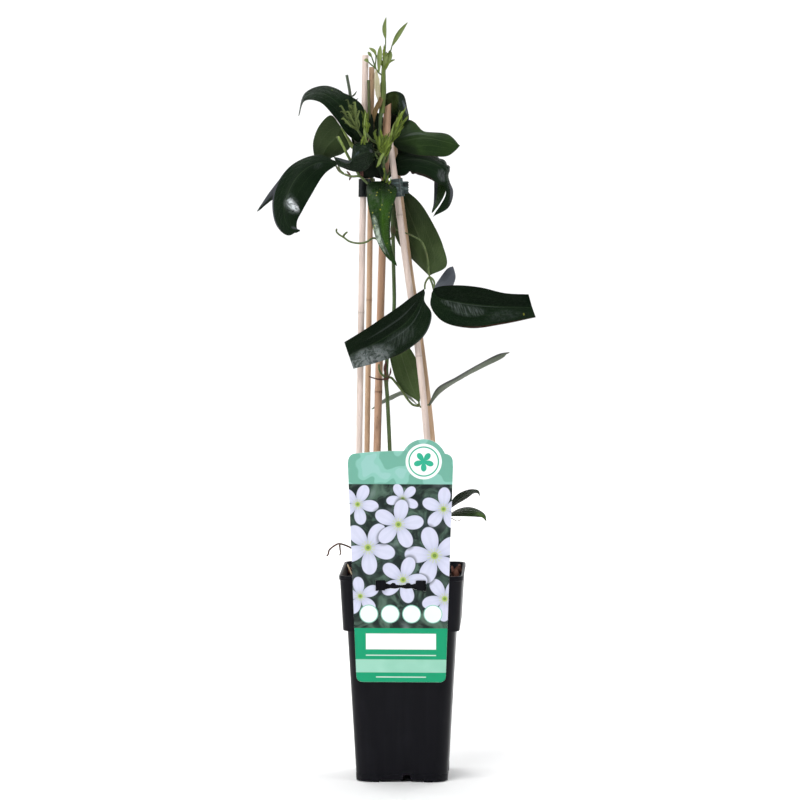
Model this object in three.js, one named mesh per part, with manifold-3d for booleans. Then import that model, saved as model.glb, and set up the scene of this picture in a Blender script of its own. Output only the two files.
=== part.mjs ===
// A young evergreen climbing clematis in a deep square nursery pot, trained up a wigwam of canes.
// Millimetres, +Z up. The origin is the middle of the pot's underside. The tag hangs in front, at -Y.

import * as THREE from "three";
import { mergeVertices } from "three/addons/utils/BufferGeometryUtils.js";
import Module from "manifold-3d";

const wasm = await Module();
wasm.setup();

// Pot: a square body with a deeper, wider collar on top, thin moulded walls and a thickened rim.
const POT_HEIGHT = 187.5;
const COLLAR_HEIGHT = 50;
const RIM_WIDTH = 110.8;
const RIM_BEAD = 0.8;
const RIM_BEAD_HEIGHT = 4.5;
const COLLAR_TOP_WIDTH = 109.2;
const COLLAR_FOOT_WIDTH = 104;
const BODY_TOP_WIDTH = 96.4;
const BASE_WIDTH = 82;
const PLINTH_HEIGHT = 7;
const PLINTH_STEP = 0.5;
const WALL = 1.4;
const FLOOR_THICKNESS = 1.6;
const FLOOR_LEVEL = 9;
const BASE_CORNER = 12;
const BODY_CORNER = 10;
const RIM_CORNER = 9;
const EDGE_LIFT = 1.7;
const CORNER_LIFT = 0.9;
const FEET_SPAN = 48;
const FOOT_LENGTH = 8;
const NOTCH_WIDTH = 6;
const NOTCH_FOOT_WIDTH = 8.6;
const NOTCH_HEIGHT = 6.4;
const NOTCH_OFFSET = 4.9;
const DRAIN_RADIUS = 5;
const PAD_RADIUS = 6;

// Compost, canes and the plastic grip that gathers the canes near their tops.
const SOIL_LEVEL = 176;
const CANE_SIDES = 8;
const CANE_JOINT_SPACING = 118;
const CANE_JOINT_SWELL = 0.35;
const GRIP_BOTTOM = 522.5;
const GRIP_TOP = 538.5;
const GRIP_WALL = 1;
const GRIP_WEB = 1.6;
const GRIP_WEB_HEIGHT = 11;
const GRIP_TAB = 7;

// Hanging tag: a tapered plastic card with a round bump at its top, hung on two pegs of the collar.
const TAG_THICKNESS = 0.8;
const TAG_HEIGHT = 209;
const TAG_TOP_HALF_WIDTH = 46.6;
const TAG_FOOT_HALF_WIDTH = 39.7;
const TAG_FOOT_LEVEL = 92;
const TAG_CORNER = 6;
const BUMP_RADIUS = 20;
const BUMP_CENTRE = [20.6, 199.6];
const SLOT_CENTRE_HEIGHT = 87.4;
const PEG_OFFSET = 17.8;
const PEG_WIDTH = 6.6;
const PEG_HEIGHT = 5;

// Plant tissue.
const LEAF_THICKNESS = 0.9;
const BRACT_THICKNESS = 0.8;
const STALK_RADIUS = 0.95;

// Room left between two pieces that touch on the real plant, and before the foot of a blade.
const FIT = 0.35;
const BLADE_SETBACK = 1.2;

// ---------- solids ----------

const vec = ([x, y, z]) => new THREE.Vector3(x, y, z);

const curveThrough = (points) => new THREE.CatmullRomCurve3(points.map(vec), false, "centripetal");

// A closed geometry from a list of corners and triangles, turned so that its faces point outwards.
function closedGeometry(positions, triangles) {
  let volume = 0;
  const corner = (i) => new THREE.Vector3().fromArray(positions, 3 * i);
  for (let i = 0; i < triangles.length; i += 3) {
    const [a, b, c] = triangles.slice(i, i + 3).map(corner);
    volume += a.dot(b.cross(c));
  }
  if (volume < 0) triangles.reverse();
  const geometry = new THREE.BufferGeometry();
  geometry.setAttribute("position", new THREE.Float32BufferAttribute(positions, 3));
  geometry.setIndex(triangles);
  return geometry;
}

// A skin over a row of rings that all have the same, even number of points, with both ends capped.
function skin(rings) {
  const count = rings[0].length;
  const positions = rings.flat().flatMap((p) => [p.x, p.y, p.z]);
  const triangles = [];
  for (let i = 0; i + 1 < rings.length; i += 1) {
    for (let j = 0; j < count; j += 1) {
      const a = i * count + j;
      const b = i * count + ((j + 1) % count);
      triangles.push(a, b, b + count, a, b + count, a + count);
    }
  }
  const last = (rings.length - 1) * count;
  for (let k = 0; k < count / 2 - 1; k += 1) {
    const [a, b, c, d] = [k, k + 1, count - 2 - k, count - 1 - k];
    triangles.push(a, c, b, a, d, c);
    triangles.push(last + a, last + b, last + c, last + a, last + c, last + d);
  }
  return closedGeometry(positions, triangles);
}

// A thin sheet on a grid of points, half its thickness either side. Both faces share their diagonals.
function sheet(grid, thickness) {
  const rows = grid.length;
  const columns = grid[0].length;
  const face = (side) =>
    grid.flatMap((row, i) =>
      row.flatMap((p, j) => {
        const along = grid[Math.min(i + 1, rows - 1)][j].clone().sub(grid[Math.max(i - 1, 0)][j]);
        const across = row[Math.min(j + 1, columns - 1)].clone().sub(row[Math.max(j - 1, 0)]);
        const lift = along.cross(across).setLength((side * thickness) / 2);
        return lift.add(p).toArray();
      }),
    );
  const at = (i, j) => i * columns + j;
  const under = rows * columns;
  const triangles = [];
  for (let i = 0; i + 1 < rows; i += 1) {
    for (let j = 0; j + 1 < columns; j += 1) {
      const [a, b, c, d] = [at(i, j), at(i + 1, j), at(i + 1, j + 1), at(i, j + 1)];
      triangles.push(a, b, c, a, c, d);
      triangles.push(under + a, under + c, under + b, under + a, under + d, under + c);
    }
  }
  const rim = [];
  for (let i = 0; i + 1 < rows; i += 1) rim.push(at(i, 0));
  for (let j = 0; j + 1 < columns; j += 1) rim.push(at(rows - 1, j));
  for (let i = rows - 1; i > 0; i -= 1) rim.push(at(i, columns - 1));
  for (let j = columns - 1; j > 0; j -= 1) rim.push(at(0, j));
  rim.forEach((p, k) => {
    const q = rim[(k + 1) % rim.length];
    triangles.push(q, p, p + under, q, p + under, q + under);
  });
  return closedGeometry([...face(1), ...face(-1)], triangles);
}

function solidOf(geometry) {
  const bare = geometry.clone();
  bare.deleteAttribute("normal");
  bare.deleteAttribute("uv");
  const merged = mergeVertices(bare, 1e-4);
  return new wasm.Manifold(
    new wasm.Mesh({
      numProp: 3,
      vertProperties: new Float32Array(merged.getAttribute("position").array),
      triVerts: new Uint32Array(merged.index.array),
    }),
  );
}

function geometryOf(solid) {
  const mesh = solid.getMesh();
  const geometry = new THREE.BufferGeometry();
  geometry.setAttribute("position", new THREE.Float32BufferAttribute(mesh.vertProperties, 3));
  geometry.setIndex(new THREE.BufferAttribute(new Uint32Array(mesh.triVerts), 1));
  return geometry;
}

const joined = (geometries) => geometries.map(solidOf).reduce((sum, next) => sum.add(next));

const cutBy = (solid, geometries) => geometries.reduce((rest, g) => rest.subtract(solidOf(g)), solid);

function block([width, depth, height], centre) {
  return new THREE.BoxGeometry(width, depth, height).translate(...centre);
}

// ---------- rods and stalks ----------

// A round ring across an upright path: its two directions come from the path's own direction and Y.
function ringAcross(curve, u, radius, sides) {
  const centre = curve.getPoint(u);
  const right = curve.getTangent(u).cross(new THREE.Vector3(0, 1, 0)).normalize();
  const back = right.clone().cross(curve.getTangent(u)).normalize();
  return Array.from({ length: sides }, (_, k) => {
    const turn = (2 * Math.PI * (k + 0.5)) / sides;
    const spoke = right.clone().multiplyScalar(Math.cos(turn));
    return spoke.addScaledVector(back, Math.sin(turn)).multiplyScalar(radius).add(centre);
  });
}

// An upright rod along a path, with a list of [place along the path from 0 to 1, radius].
function rod(points, stops, sides = CANE_SIDES) {
  const curve = curveThrough(points);
  return skin(stops.map(([u, radius]) => ringAcross(curve, u, radius, sides)));
}

// The place along a path that rises all the way, from 0 to 1, where it is at a given height.
function placeAtHeight(curve, height) {
  let [low, high] = [0, 1];
  for (let i = 0; i < 30; i += 1) {
    const middle = (low + high) / 2;
    if (curve.getPoint(middle).z < height) low = middle;
    else high = middle;
  }
  return low;
}

// A thin round stalk along any path. Its section is carried along without a twist, and may taper.
function stalkRings(points, { radius = STALK_RADIUS, tipRadius = radius, sides = 6 } = {}) {
  const curve = curveThrough(points);
  const steps = points.length - 1;
  const side = new THREE.Vector3(0.31, 0.57, -0.76);
  return Array.from({ length: steps + 1 }, (_, i) => {
    const along = curve.getTangent(i / steps);
    side.addScaledVector(along, -side.dot(along)).normalize();
    const other = along.clone().cross(side);
    const reach = THREE.MathUtils.lerp(radius, tipRadius, i / steps);
    return Array.from({ length: sides }, (__, k) => {
      const turn = (2 * Math.PI * k) / sides;
      const spoke = side.clone().multiplyScalar(Math.cos(turn)).addScaledVector(other, Math.sin(turn));
      return spoke.multiplyScalar(reach).add(curve.getPoint(i / steps));
    });
  });
}

const stalk = (points, options) => skin(stalkRings(points, options));

// The path of a stalk that bears a blade: it stops just short of the blade's foot.
function shortOfBlade(points) {
  const [before, foot] = points.slice(-2).map(vec);
  foot.add(before.sub(foot).setLength(BLADE_SETBACK));
  return [...points.slice(0, -1), foot.toArray()];
}

// ---------- pot ----------

// One level ring of the pot: a square of a given width with round corners.
function roundedSquare(width, corner, z, arcSteps = 5) {
  const reach = width / 2 - corner;
  return [0, 1, 2, 3].flatMap((quarter) =>
    Array.from({ length: arcSteps + 1 }, (_, k) => {
      const turn = (Math.PI / 2) * (quarter + k / arcSteps);
      const middle = (Math.PI / 2) * (quarter + 0.5);
      const x = reach * Math.sign(Math.cos(middle)) + corner * Math.cos(turn);
      const y = reach * Math.sign(Math.sin(middle)) + corner * Math.sin(turn);
      return new THREE.Vector3(x, y, z);
    }),
  );
}

const COLLAR_FOOT = POT_HEIGHT - COLLAR_HEIGHT;
const BEAD_FOOT = POT_HEIGHT - RIM_BEAD_HEIGHT;

function potOutside() {
  return skin([
    roundedSquare(BASE_WIDTH, BASE_CORNER, 0),
    roundedSquare(BASE_WIDTH + PLINTH_STEP, BASE_CORNER, PLINTH_HEIGHT),
    roundedSquare(BASE_WIDTH, BASE_CORNER, PLINTH_HEIGHT),
    roundedSquare(BODY_TOP_WIDTH, BODY_CORNER, COLLAR_FOOT),
    roundedSquare(COLLAR_FOOT_WIDTH, BODY_CORNER, COLLAR_FOOT),
    roundedSquare(COLLAR_TOP_WIDTH, RIM_CORNER, BEAD_FOOT),
    roundedSquare(COLLAR_TOP_WIDTH + 2 * RIM_BEAD, RIM_CORNER, BEAD_FOOT + 0.5),
    roundedSquare(RIM_WIDTH, RIM_CORNER, POT_HEIGHT - 0.5),
    roundedSquare(RIM_WIDTH - 0.8, RIM_CORNER, POT_HEIGHT),
  ]);
}

// The space inside the walls, which steps out where the collar begins, or the same space a gap smaller.
function potInside(shrink, bottom, top) {
  const ledge = COLLAR_FOOT + WALL;
  const wide = (level) => {
    const share = (level - ledge) / (POT_HEIGHT - ledge);
    return THREE.MathUtils.lerp(COLLAR_FOOT_WIDTH, COLLAR_TOP_WIDTH, share) - 2 * (WALL + shrink);
  };
  return [
    roundedSquare(BASE_WIDTH - 2 * (WALL + shrink), BASE_CORNER - WALL, bottom),
    roundedSquare(BODY_TOP_WIDTH - 2 * (WALL + shrink), BODY_CORNER - WALL, ledge + shrink),
    roundedSquare(wide(ledge), BODY_CORNER - WALL, ledge + shrink),
    roundedSquare(wide(top), RIM_CORNER - WALL, top),
  ];
}

const tagLean = Math.atan2(
  (COLLAR_TOP_WIDTH - COLLAR_FOOT_WIDTH) / 2 + RIM_BEAD,
  BEAD_FOOT + 0.5 - COLLAR_FOOT,
);

// The back plane of the tag leans on the collar's lower edge and on the rim bead.
const tagBackAt = (z) => -COLLAR_FOOT_WIDTH / 2 - FIT - Math.tan(tagLean) * (z - COLLAR_FOOT);

// Two pegs on the collar pass through the tag's slot, each with a lip that keeps the tag on.
function tagPegs() {
  const level = TAG_FOOT_LEVEL + SLOT_CENTRE_HEIGHT * Math.cos(tagLean);
  const front = tagBackAt(level + PEG_HEIGHT) - TAG_THICKNESS - FIT;
  const root = -COLLAR_FOOT_WIDTH / 2;
  const reach = root - front + 1.2;
  return [-1, 1].flatMap((side) => [
    block([PEG_WIDTH, reach, PEG_HEIGHT], [side * PEG_OFFSET, root - reach / 2, level]),
    block([PEG_WIDTH + 1.2, 1.2, PEG_HEIGHT + 4], [side * PEG_OFFSET, front - 0.6, level + 0.6]),
  ]);
}

// What is cut from the skirt under the floor: its edge is lifted between the feet and at the corners,
// and each side has a drain notch that is wider at its mouth.
function skirtCuts() {
  const across = BASE_WIDTH + 4;
  const corner = (FEET_SPAN + FOOT_LENGTH) / 2 + 10;
  const notch = new THREE.Shape([
    new THREE.Vector2(-NOTCH_FOOT_WIDTH / 2, -1),
    new THREE.Vector2(NOTCH_FOOT_WIDTH / 2, -1),
    new THREE.Vector2(NOTCH_FOOT_WIDTH / 2, EDGE_LIFT + 0.6),
    new THREE.Vector2(NOTCH_WIDTH / 2, EDGE_LIFT + 2),
    new THREE.Vector2(NOTCH_WIDTH / 2, NOTCH_HEIGHT),
    new THREE.Vector2(-NOTCH_WIDTH / 2, NOTCH_HEIGHT),
    new THREE.Vector2(-NOTCH_WIDTH / 2, EDGE_LIFT + 2),
    new THREE.Vector2(-NOTCH_FOOT_WIDTH / 2, EDGE_LIFT + 0.6),
  ]);
  return [0, 90, 180, 270].flatMap((turn) =>
    [
      block([FEET_SPAN - FOOT_LENGTH, 10, 2 * EDGE_LIFT], [0, -BASE_WIDTH / 2, 0]),
      block([20, 20, 2 * CORNER_LIFT], [-corner, -corner, 0]),
      new THREE.ExtrudeGeometry(notch, { depth: across / 4, bevelEnabled: false })
        .rotateX(Math.PI / 2)
        .translate(NOTCH_OFFSET, -BASE_WIDTH / 2 + across / 8, 0),
    ].map((cut) => cut.rotateZ(THREE.MathUtils.degToRad(turn))),
  );
}

function makePot() {
  const floorTop = FLOOR_LEVEL + FLOOR_THICKNESS;
  const skirt = BASE_WIDTH - 2 * WALL;
  const recess = skin([
    roundedSquare(skirt, BASE_CORNER - WALL, -1),
    roundedSquare(skirt, BASE_CORNER - WALL, FLOOR_LEVEL),
  ]);
  const shell = cutBy(joined([potOutside(), ...tagPegs()]), [
    skin(potInside(0, floorTop, POT_HEIGHT + 1)),
    recess,
  ]);
  const pad = new THREE.CylinderGeometry(PAD_RADIUS, PAD_RADIUS, FLOOR_LEVEL + 0.5, 12)
    .rotateX(Math.PI / 2)
    .translate(0, 0, (FLOOR_LEVEL + 0.5) / 2);
  const drains = [45, 135, 225, 315].map((turn) =>
    new THREE.CylinderGeometry(DRAIN_RADIUS, DRAIN_RADIUS, 8, 12)
      .rotateX(Math.PI / 2)
      .translate(34, 0, FLOOR_LEVEL)
      .rotateZ(THREE.MathUtils.degToRad(turn)),
  );
  return cutBy(cutBy(shell, skirtCuts()).add(solidOf(pad)), drains);
}

// ---------- canes ----------

const CANES = {
  cane_front_left: {
    radius: 2.9,
    path: [
      [-40, -31, 89], [-39.5, -30, 177], [-38.3, -24, 300], [-36.2, -14, 464.5],
      [-33.5, -3, 648.5],
    ],
  },
  cane_back_left: {
    radius: 2.6,
    path: [[-36, 34, 78], [-35.5, 31, 177], [-33.5, 23, 296], [-30.5, 12, 464], [-28, 1, 638]],
  },
  cane_centre: {
    radius: 3.5,
    path: [[-29, 5, 44.5], [-26.5, 4, 177], [-23.5, 3, 297], [-19, 1.5, 464], [-14, 1, 604]],
    topSlant: 2.2,
  },
  cane_front_right: {
    radius: 3,
    path: [
      [31, -31, 60], [30, -30, 177], [22.5, -22, 304.5], [14, -17.5, 386.5], [3, -13, 464.5],
      [-11.6, -7, 572],
    ],
  },
  cane_back_right: {
    radius: 2.7,
    path: [
      [36, 27, 60], [34.5, 24, 177], [26, 17, 300.5], [16.5, 12.5, 384], [5, 9.5, 463.5],
      [-9.5, 5, 576],
    ],
  },
};

// Bamboo is swollen a little at its joints. The cut ends are plain, and one top is cut at a slant.
function caneRings({ radius, path, topSlant = 0 }, index) {
  const curve = curveThrough(path);
  const length = curve.getLength();
  const stops = [[0, radius]];
  for (let at = 60 + 23 * index; at < length - 30; at += CANE_JOINT_SPACING) {
    const u = at / length;
    const half = 3 / length;
    stops.push([u - half, radius], [u, radius + CANE_JOINT_SWELL], [u + half, radius]);
  }
  stops.push([1, radius * 0.97]);
  const rings = stops.map(([u, r]) => ringAcross(curve, curve.getUtoTmapping(u), r, CANE_SIDES));
  rings.at(-1).forEach((p) => {
    p.z += ((p.x - path.at(-1)[0]) / radius) * topSlant;
  });
  return rings;
}

// The hole that a stem stands in: the stem's own rings, a little wider, and open above the compost.
function holeFor(rings) {
  const inSoil = rings.filter((ring) => ring[0].z < SOIL_LEVEL + 4);
  const wider = rings.slice(0, inSoil.length + 1).map((ring) => {
    const centre = ring.reduce((sum, p) => sum.add(p), new THREE.Vector3()).divideScalar(ring.length);
    return ring.map((p) => {
      const spoke = p.clone().sub(centre);
      return spoke.setLength(spoke.length() + FIT).add(centre);
    });
  });
  wider[0].forEach((p) => {
    p.z -= FIT;
  });
  return skin(wider);
}

// ---------- cane grip ----------

function makeGrip() {
  const held = ["cane_front_left", "cane_back_left", "cane_back_right", "cane_front_right"];
  const axis = (name, z) => {
    const curve = curveThrough(CANES[name].path);
    return curve.getPoint(placeAtHeight(curve, z)).toArray();
  };
  const sleeve = (name, extra, overrun) =>
    rod(
      [axis(name, GRIP_BOTTOM - overrun), axis(name, GRIP_TOP + overrun)],
      [
        [0, CANES[name].radius + extra],
        [1, CANES[name].radius + extra],
      ],
      CANE_SIDES,
    );
  const middle = (GRIP_BOTTOM + GRIP_TOP) / 2;
  const webs = held.slice(0, -1).map((name, k) => {
    const [from, to] = [vec(axis(name, middle)), vec(axis(held[k + 1], middle))];
    const run = to.clone().sub(from);
    return new THREE.BoxGeometry(run.length(), GRIP_WEB, GRIP_WEB_HEIGHT)
      .rotateZ(Math.atan2(run.y, run.x))
      .translate(...from.add(to).multiplyScalar(0.5).toArray());
  });
  const [tabX, tabY] = axis("cane_back_right", middle);
  const tab = block([GRIP_TAB, GRIP_WEB, GRIP_WEB_HEIGHT], [tabX + GRIP_TAB / 2 + 1, tabY, middle]);
  const sleeves = held.map((name) => sleeve(name, FIT + GRIP_WALL, 0));
  return cutBy(joined([...sleeves, ...webs, tab]), held.map((name) => sleeve(name, FIT, 3)));
}

// ---------- hanging tag ----------

function makeTag() {
  const card = new THREE.Shape();
  card.moveTo(-TAG_FOOT_HALF_WIDTH + TAG_CORNER, 0);
  card.lineTo(TAG_FOOT_HALF_WIDTH - TAG_CORNER, 0);
  card.quadraticCurveTo(TAG_FOOT_HALF_WIDTH, 0, TAG_FOOT_HALF_WIDTH + 0.2, TAG_CORNER);
  card.lineTo(TAG_TOP_HALF_WIDTH, TAG_HEIGHT - 2 * TAG_CORNER);
  card.quadraticCurveTo(
    TAG_TOP_HALF_WIDTH, TAG_HEIGHT - 3.5,
    TAG_TOP_HALF_WIDTH - TAG_CORNER, TAG_HEIGHT - 2.5,
  );
  card.quadraticCurveTo(0, TAG_HEIGHT + 2.5, TAG_CORNER - TAG_TOP_HALF_WIDTH, TAG_HEIGHT - 2.5);
  card.quadraticCurveTo(
    -TAG_TOP_HALF_WIDTH, TAG_HEIGHT - 3.5,
    -TAG_TOP_HALF_WIDTH, TAG_HEIGHT - 2 * TAG_CORNER,
  );
  card.lineTo(-TAG_FOOT_HALF_WIDTH - 0.2, TAG_CORNER);
  card.quadraticCurveTo(-TAG_FOOT_HALF_WIDTH, 0, -TAG_FOOT_HALF_WIDTH + TAG_CORNER, 0);
  // Half of the slot's outline, from its middle outwards along the top and back along the bottom.
  const halfSlot = [
    [0, 0.8], [4, 1.2], [5.5, 2.8], [7.6, 2.8], [9.4, 1.4], [13.2, 2.4], [13.4, 4.9], [22.4, 4.9],
    [22.4, -4.6], [20.4, -4.6], [19.8, -3.2], [13.2, -3.2], [9.2, -2.2], [5, -2.6], [0, -1.6],
  ];
  const mirrored = halfSlot.slice(1, -1).reverse().map(([x, y]) => [-x, y]);
  const slot = [...halfSlot, ...mirrored].map(([x, y]) => new THREE.Vector2(x, y + SLOT_CENTRE_HEIGHT));
  card.holes.push(new THREE.Path(slot));
  const plate = { depth: TAG_THICKNESS, bevelEnabled: false, curveSegments: 8 };
  const bump = new THREE.CylinderGeometry(BUMP_RADIUS, BUMP_RADIUS, TAG_THICKNESS, 40);
  const disc = bump.rotateX(Math.PI / 2).translate(...BUMP_CENTRE, TAG_THICKNESS / 2);
  const flat = joined([new THREE.ExtrudeGeometry(card, plate), disc]);
  return geometryOf(flat)
    .rotateX(Math.PI / 2 + tagLean)
    .translate(0, tagBackAt(TAG_FOOT_LEVEL), TAG_FOOT_LEVEL);
}

// ---------- stems ----------

const MAIN_STEM = [
  [-8, -1, 130], [-9, -1, 184], [-10.5, -1.5, 240], [-12, -2, 297], [-14, -4, 342], [-15, -6, 360],
  [-13.5, -5, 385.5],
  [-10, -4, 407.5], [-8, -4, 422], [-8.5, -4, 464], [-9, -4, 493], [-10.5, -5, 515], [-13.5, -6, 532],
  [-17.5, -7, 551], [-20, -7, 572.5], [-20, -7.5, 590], [-18, -7.5, 601.5], [-16.5, -6, 613],
  [-16.5, -5, 626],
];
const STEM_RADIUS = 1.9;
const STEM_TIP_RADIUS = 1.5;
const STEM_NODE_SWELL = 0.7;
const STEM_NODE_LEVELS = [361, 493, 534, 567];

// Leaf stalks that spring from the main stem, by the blade that each one bears.
const BLADE_STALKS = {
  upper_leaf_back: [[23.2, -16.5, 460], [23.4, -16.5, 456], [24, -15.2, 452.8]],
  upper_leaf_front: [[24.2, -19, 452], [21.5, -23, 448.5], [20.3, -25.5, 445], [20.3, -26, 440.8]],
  upper_leaf_right: [[24.2, -19, 452], [27.5, -23, 449.5], [28.8, -25.5, 446], [27.5, -26, 441.5]],
  upper_leaf_small: [[24.2, -19, 452], [26.5, -20, 446], [27.5, -17, 441.5], [28, -14, 440]],
  lower_leaf_left: [[15, -12, 335.5], [14, -10.8, 336.2], [12.5, -9.6, 337.2]],
  lower_leaf_back: [[15, -12, 335.5], [14.5, -12, 339.7]],
  lower_leaf_right: [[15, -12, 335.5], [18, -11.5, 334.5], [23.5, -10, 337]],
  crown_leaf_left_low: [[-52, -17, 543], [-56, -16, 547], [-57.2, -14.4, 552.2]],
  crown_leaf_left_far: [[-52, -17, 543], [-57, -11, 546], [-59, -8, 549], [-60.5, -6, 551.5]],
  crown_leaf_left_mid: [[-38, -14, 561.5], [-44, -10, 566], [-50, -5.5, 575], [-54.8, -1.8, 583.9]],
  crown_leaf_left_top: [[-32, -14, 561], [-37, -15, 564.5], [-39.5, -14, 571.5]],
  crown_leaf_centre: [[-19, -8, 554], [-21, -15, 556.5], [-24.5, -20, 561]],
  crown_leaf_back_upper: [[-17.5, -7, 548], [-20.5, -4, 549.5], [-22, -0.5, 550.5], [-22, 3.8, 552]],
  crown_leaf_back_lower: [[-16.5, -6.7, 546], [-20.5, -3, 547], [-21.6, 2, 548.5], [-18.5, 6.5, 550]],
  crown_leaf_front: [[-11.5, -5.5, 523], [-12.8, -11, 530], [-14.5, -13.5, 534.5], [-16.2, -15, 538.4]],
  crown_leaf_right_low: [[-14.5, -6, 540], [-11.2, -3, 546], [-8.5, -1.5, 550]],
  crown_leaf_right_inner: [
    [-14.5, -6, 540], [-12, -3, 543.5], [-10.5, 0, 546], [-8, 1.2, 548], [-3, 3, 550.5], [6, 8, 549],
    [14, 8, 549], [22.5, 8, 549.5],
  ],
  crown_leaf_right_mid: [[-19, -7, 563], [-15.5, -5, 565.5], [-12.8, -3.1, 568.5], [-10, -1.5, 571]],
  crown_leaf_right_top: [[-20, -7, 580], [-21.5, 0, 583], [-20, 6, 586], [-15, 7, 589]],
};
const BARE_STALKS = [
  [
    [-8.6, -4, 494], [-4.5, -2, 492.5], [2.5, -2, 490], [11, -7, 486.5], [17, -9, 482.5],
    [22, -12, 470], [24.2, -19, 452],
  ],
  [
    [-14.6, -6, 361], [-10.5, -6, 360.5], [-7, -8, 357], [-0.5, -10, 349], [5, -12, 341],
    [9, -13, 337], [12, -12.8, 336], [15, -12, 335.5],
  ],
  [
    [-13.5, -6, 533], [-22, -10, 531.5], [-31, -17.5, 535], [-38, -18, 541], [-45, -17.5, 541],
    [-52, -17, 543],
  ],
  [[-19.5, -7, 564], [-26, -13, 561.5], [-33, -14, 560.5], [-39, -14, 562]],
  [[-38, -18, 541], [-45, -20, 553], [-50, -20, 563], [-55, -19, 571], [-58.5, -17, 576.5]],
];
const CURLED_STALK = [
  [-8.6, -5, 487.5], [-12, -13, 484.5], [-20, -22, 484.5], [-25.5, -26, 486.5], [-32, -28, 483],
  [-38, -28, 482], [-46.5, -27, 483.5], [-52.5, -26, 487.5], [-56, -25, 489.5],
  [-58.5, -25, 492.5], [-58, -25, 495],
];
const CURLED_STALK_FORK = [[-52.5, -26, 487.5], [-51, -25, 490], [-48.5, -24, 492]];

// A bent stub and two small scale leaves at the lower node, beside the stalk that springs there.
const NODE_STUB = [[-15.3, -7.8, 361.5], [-18.5, -9, 363.5], [-21, -9.5, 368], [-21.5, -9, 373]];
const NODE_SCALES = [
  { rib: [[-15, -8, 362], [-16, -9.5, 368], [-15.5, -9.5, 372], [-14.5, -9, 376]], halfWidth: 2.4 },
  { rib: [[-12.6, -7.5, 361.5], [-11, -8.5, 365.5], [-11, -8.5, 370]], halfWidth: 1.3 },
];
// The soft tip of the stem is stouter than the wood that bears it.
const STOUT_TIP = [[-18.3, -7.3, 597], [-17.5, -6.2, 611], [-17.4, -5.3, 625.7]];
const STOUT_RADIUS = 2.3;
// A second young stem grows beside the first from the crown, with dry sheaths round its foot,
// and a withered bud sits on the curled bare stalk.
const SECOND_STEM = [
  [-20, -7, 581], [-20.5, -7.2, 590], [-19.8, -6, 605], [-19.3, -5, 617.5], [-19.2, -5.2, 624.5],
];
const DRY_SHEATH = [
  [-18.6, -6, 614], [-19, -7.5, 611], [-20.5, -9.5, 606.5], [-24, -10.5, 600], [-26, -11, 592],
  [-26.5, -11, 585],
];
const SHEATHS = [
  { rib: DRY_SHEATH, halfWidth: 2.3 },
  { rib: [[-20.8, -6.8, 606], [-22.3, -8.2, 616], [-23.3, -8.6, 627], [-24, -8, 636]], halfWidth: 2.6 },
];
const WITHERED_BUD = { rib: [[-35.8, -18, 538.5], [-36.5, -17, 543], [-36, -15.5, 547.5]], halfWidth: 1.7 };

function mainStemRings() {
  const curve = curveThrough(MAIN_STEM);
  const nodePlaces = STEM_NODE_LEVELS.map((z) => placeAtHeight(curve, z));
  const radiusAt = (u) => {
    const swell = nodePlaces.reduce((sum, place) => sum + Math.exp(-(((u - place) / 0.012) ** 2)), 0);
    return THREE.MathUtils.lerp(STEM_RADIUS, STEM_TIP_RADIUS, u) + STEM_NODE_SWELL * swell;
  };
  const steps = 1.5 * (MAIN_STEM.length - 1);
  const even = Array.from({ length: steps + 1 }, (_, k) => k / steps);
  const places = [...even, ...nodePlaces].sort((a, b) => a - b);
  const apart = places.filter((u, k) => k === 0 || u - places[k - 1] > 0.008);
  return apart.map((u) => ringAcross(curve, u, radiusAt(u), CANE_SIDES));
}

function makeMainStem() {
  const bearing = Object.values(BLADE_STALKS).map((path) => stalk(shortOfBlade(path)));
  const bare = BARE_STALKS.map((path) => stalk(path));
  const thin = [CURLED_STALK, CURLED_STALK_FORK, NODE_STUB].map((path) => stalk(path, { radius: 0.75 }));
  const second = stalk(SECOND_STEM, { radius: 1.3 });
  const stout = rod(STOUT_TIP, [[0, 1.9], [0.2, STOUT_RADIUS], [1, STOUT_RADIUS]], CANE_SIDES);
  const flaps = [...NODE_SCALES, ...SHEATHS, WITHERED_BUD];
  const scales = flaps.map(({ rib, halfWidth }) => smallBlade(rib, halfWidth));
  return geometryOf(joined([skin(mainStemRings()), second, stout, ...bearing, ...bare, ...thin, ...scales]));
}

const LOW_SHOOT = [
  [19, -9, 150], [20.5, -11, 184], [24.5, -15, 197.5], [30.5, -22, 220.5], [35, -27, 235],
];
const LOW_SHOOT_STALKS = [
  [[30.5, -22, 220.5], [35, -27, 235], [37, -29, 240], [39.5, -30, 243.5]],
  [[30.5, -22, 220.5], [34, -26, 231], [37, -29, 236], [40.5, -30, 239]],
];
const LOW_SHOOT_TAPER = { radius: 1.5, tipRadius: 1 };
const LOW_SHOOT_CURL = [
  [35, -27, 233], [40, -30, 236], [45, -31, 236.5], [49, -32, 234.5], [53, -33, 236],
];

function makeLowShoot() {
  const stem = stalk(LOW_SHOOT, LOW_SHOOT_TAPER);
  const stalks = LOW_SHOOT_STALKS.map((path) => stalk(shortOfBlade(path), { radius: 0.8 }));
  return geometryOf(joined([stem, ...stalks, stalk(LOW_SHOOT_CURL, { radius: 0.5 })]));
}

const DEAD_TWIG = [
  [-24, -26, 150], [-25, -28, 184], [-31.5, -38, 200], [-45, -40, 211], [-53, -42, 214.5],
  [-56, -43, 215],
  [-61.5, -44, 212], [-64.5, -45, 209], [-65, -45, 206], [-66.5, -45, 204],
];
const DEAD_TWIG_FORK = [[-55, -43, 214.5], [-54.5, -44, 210], [-54, -44, 207], [-55, -44, 204.5]];

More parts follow.
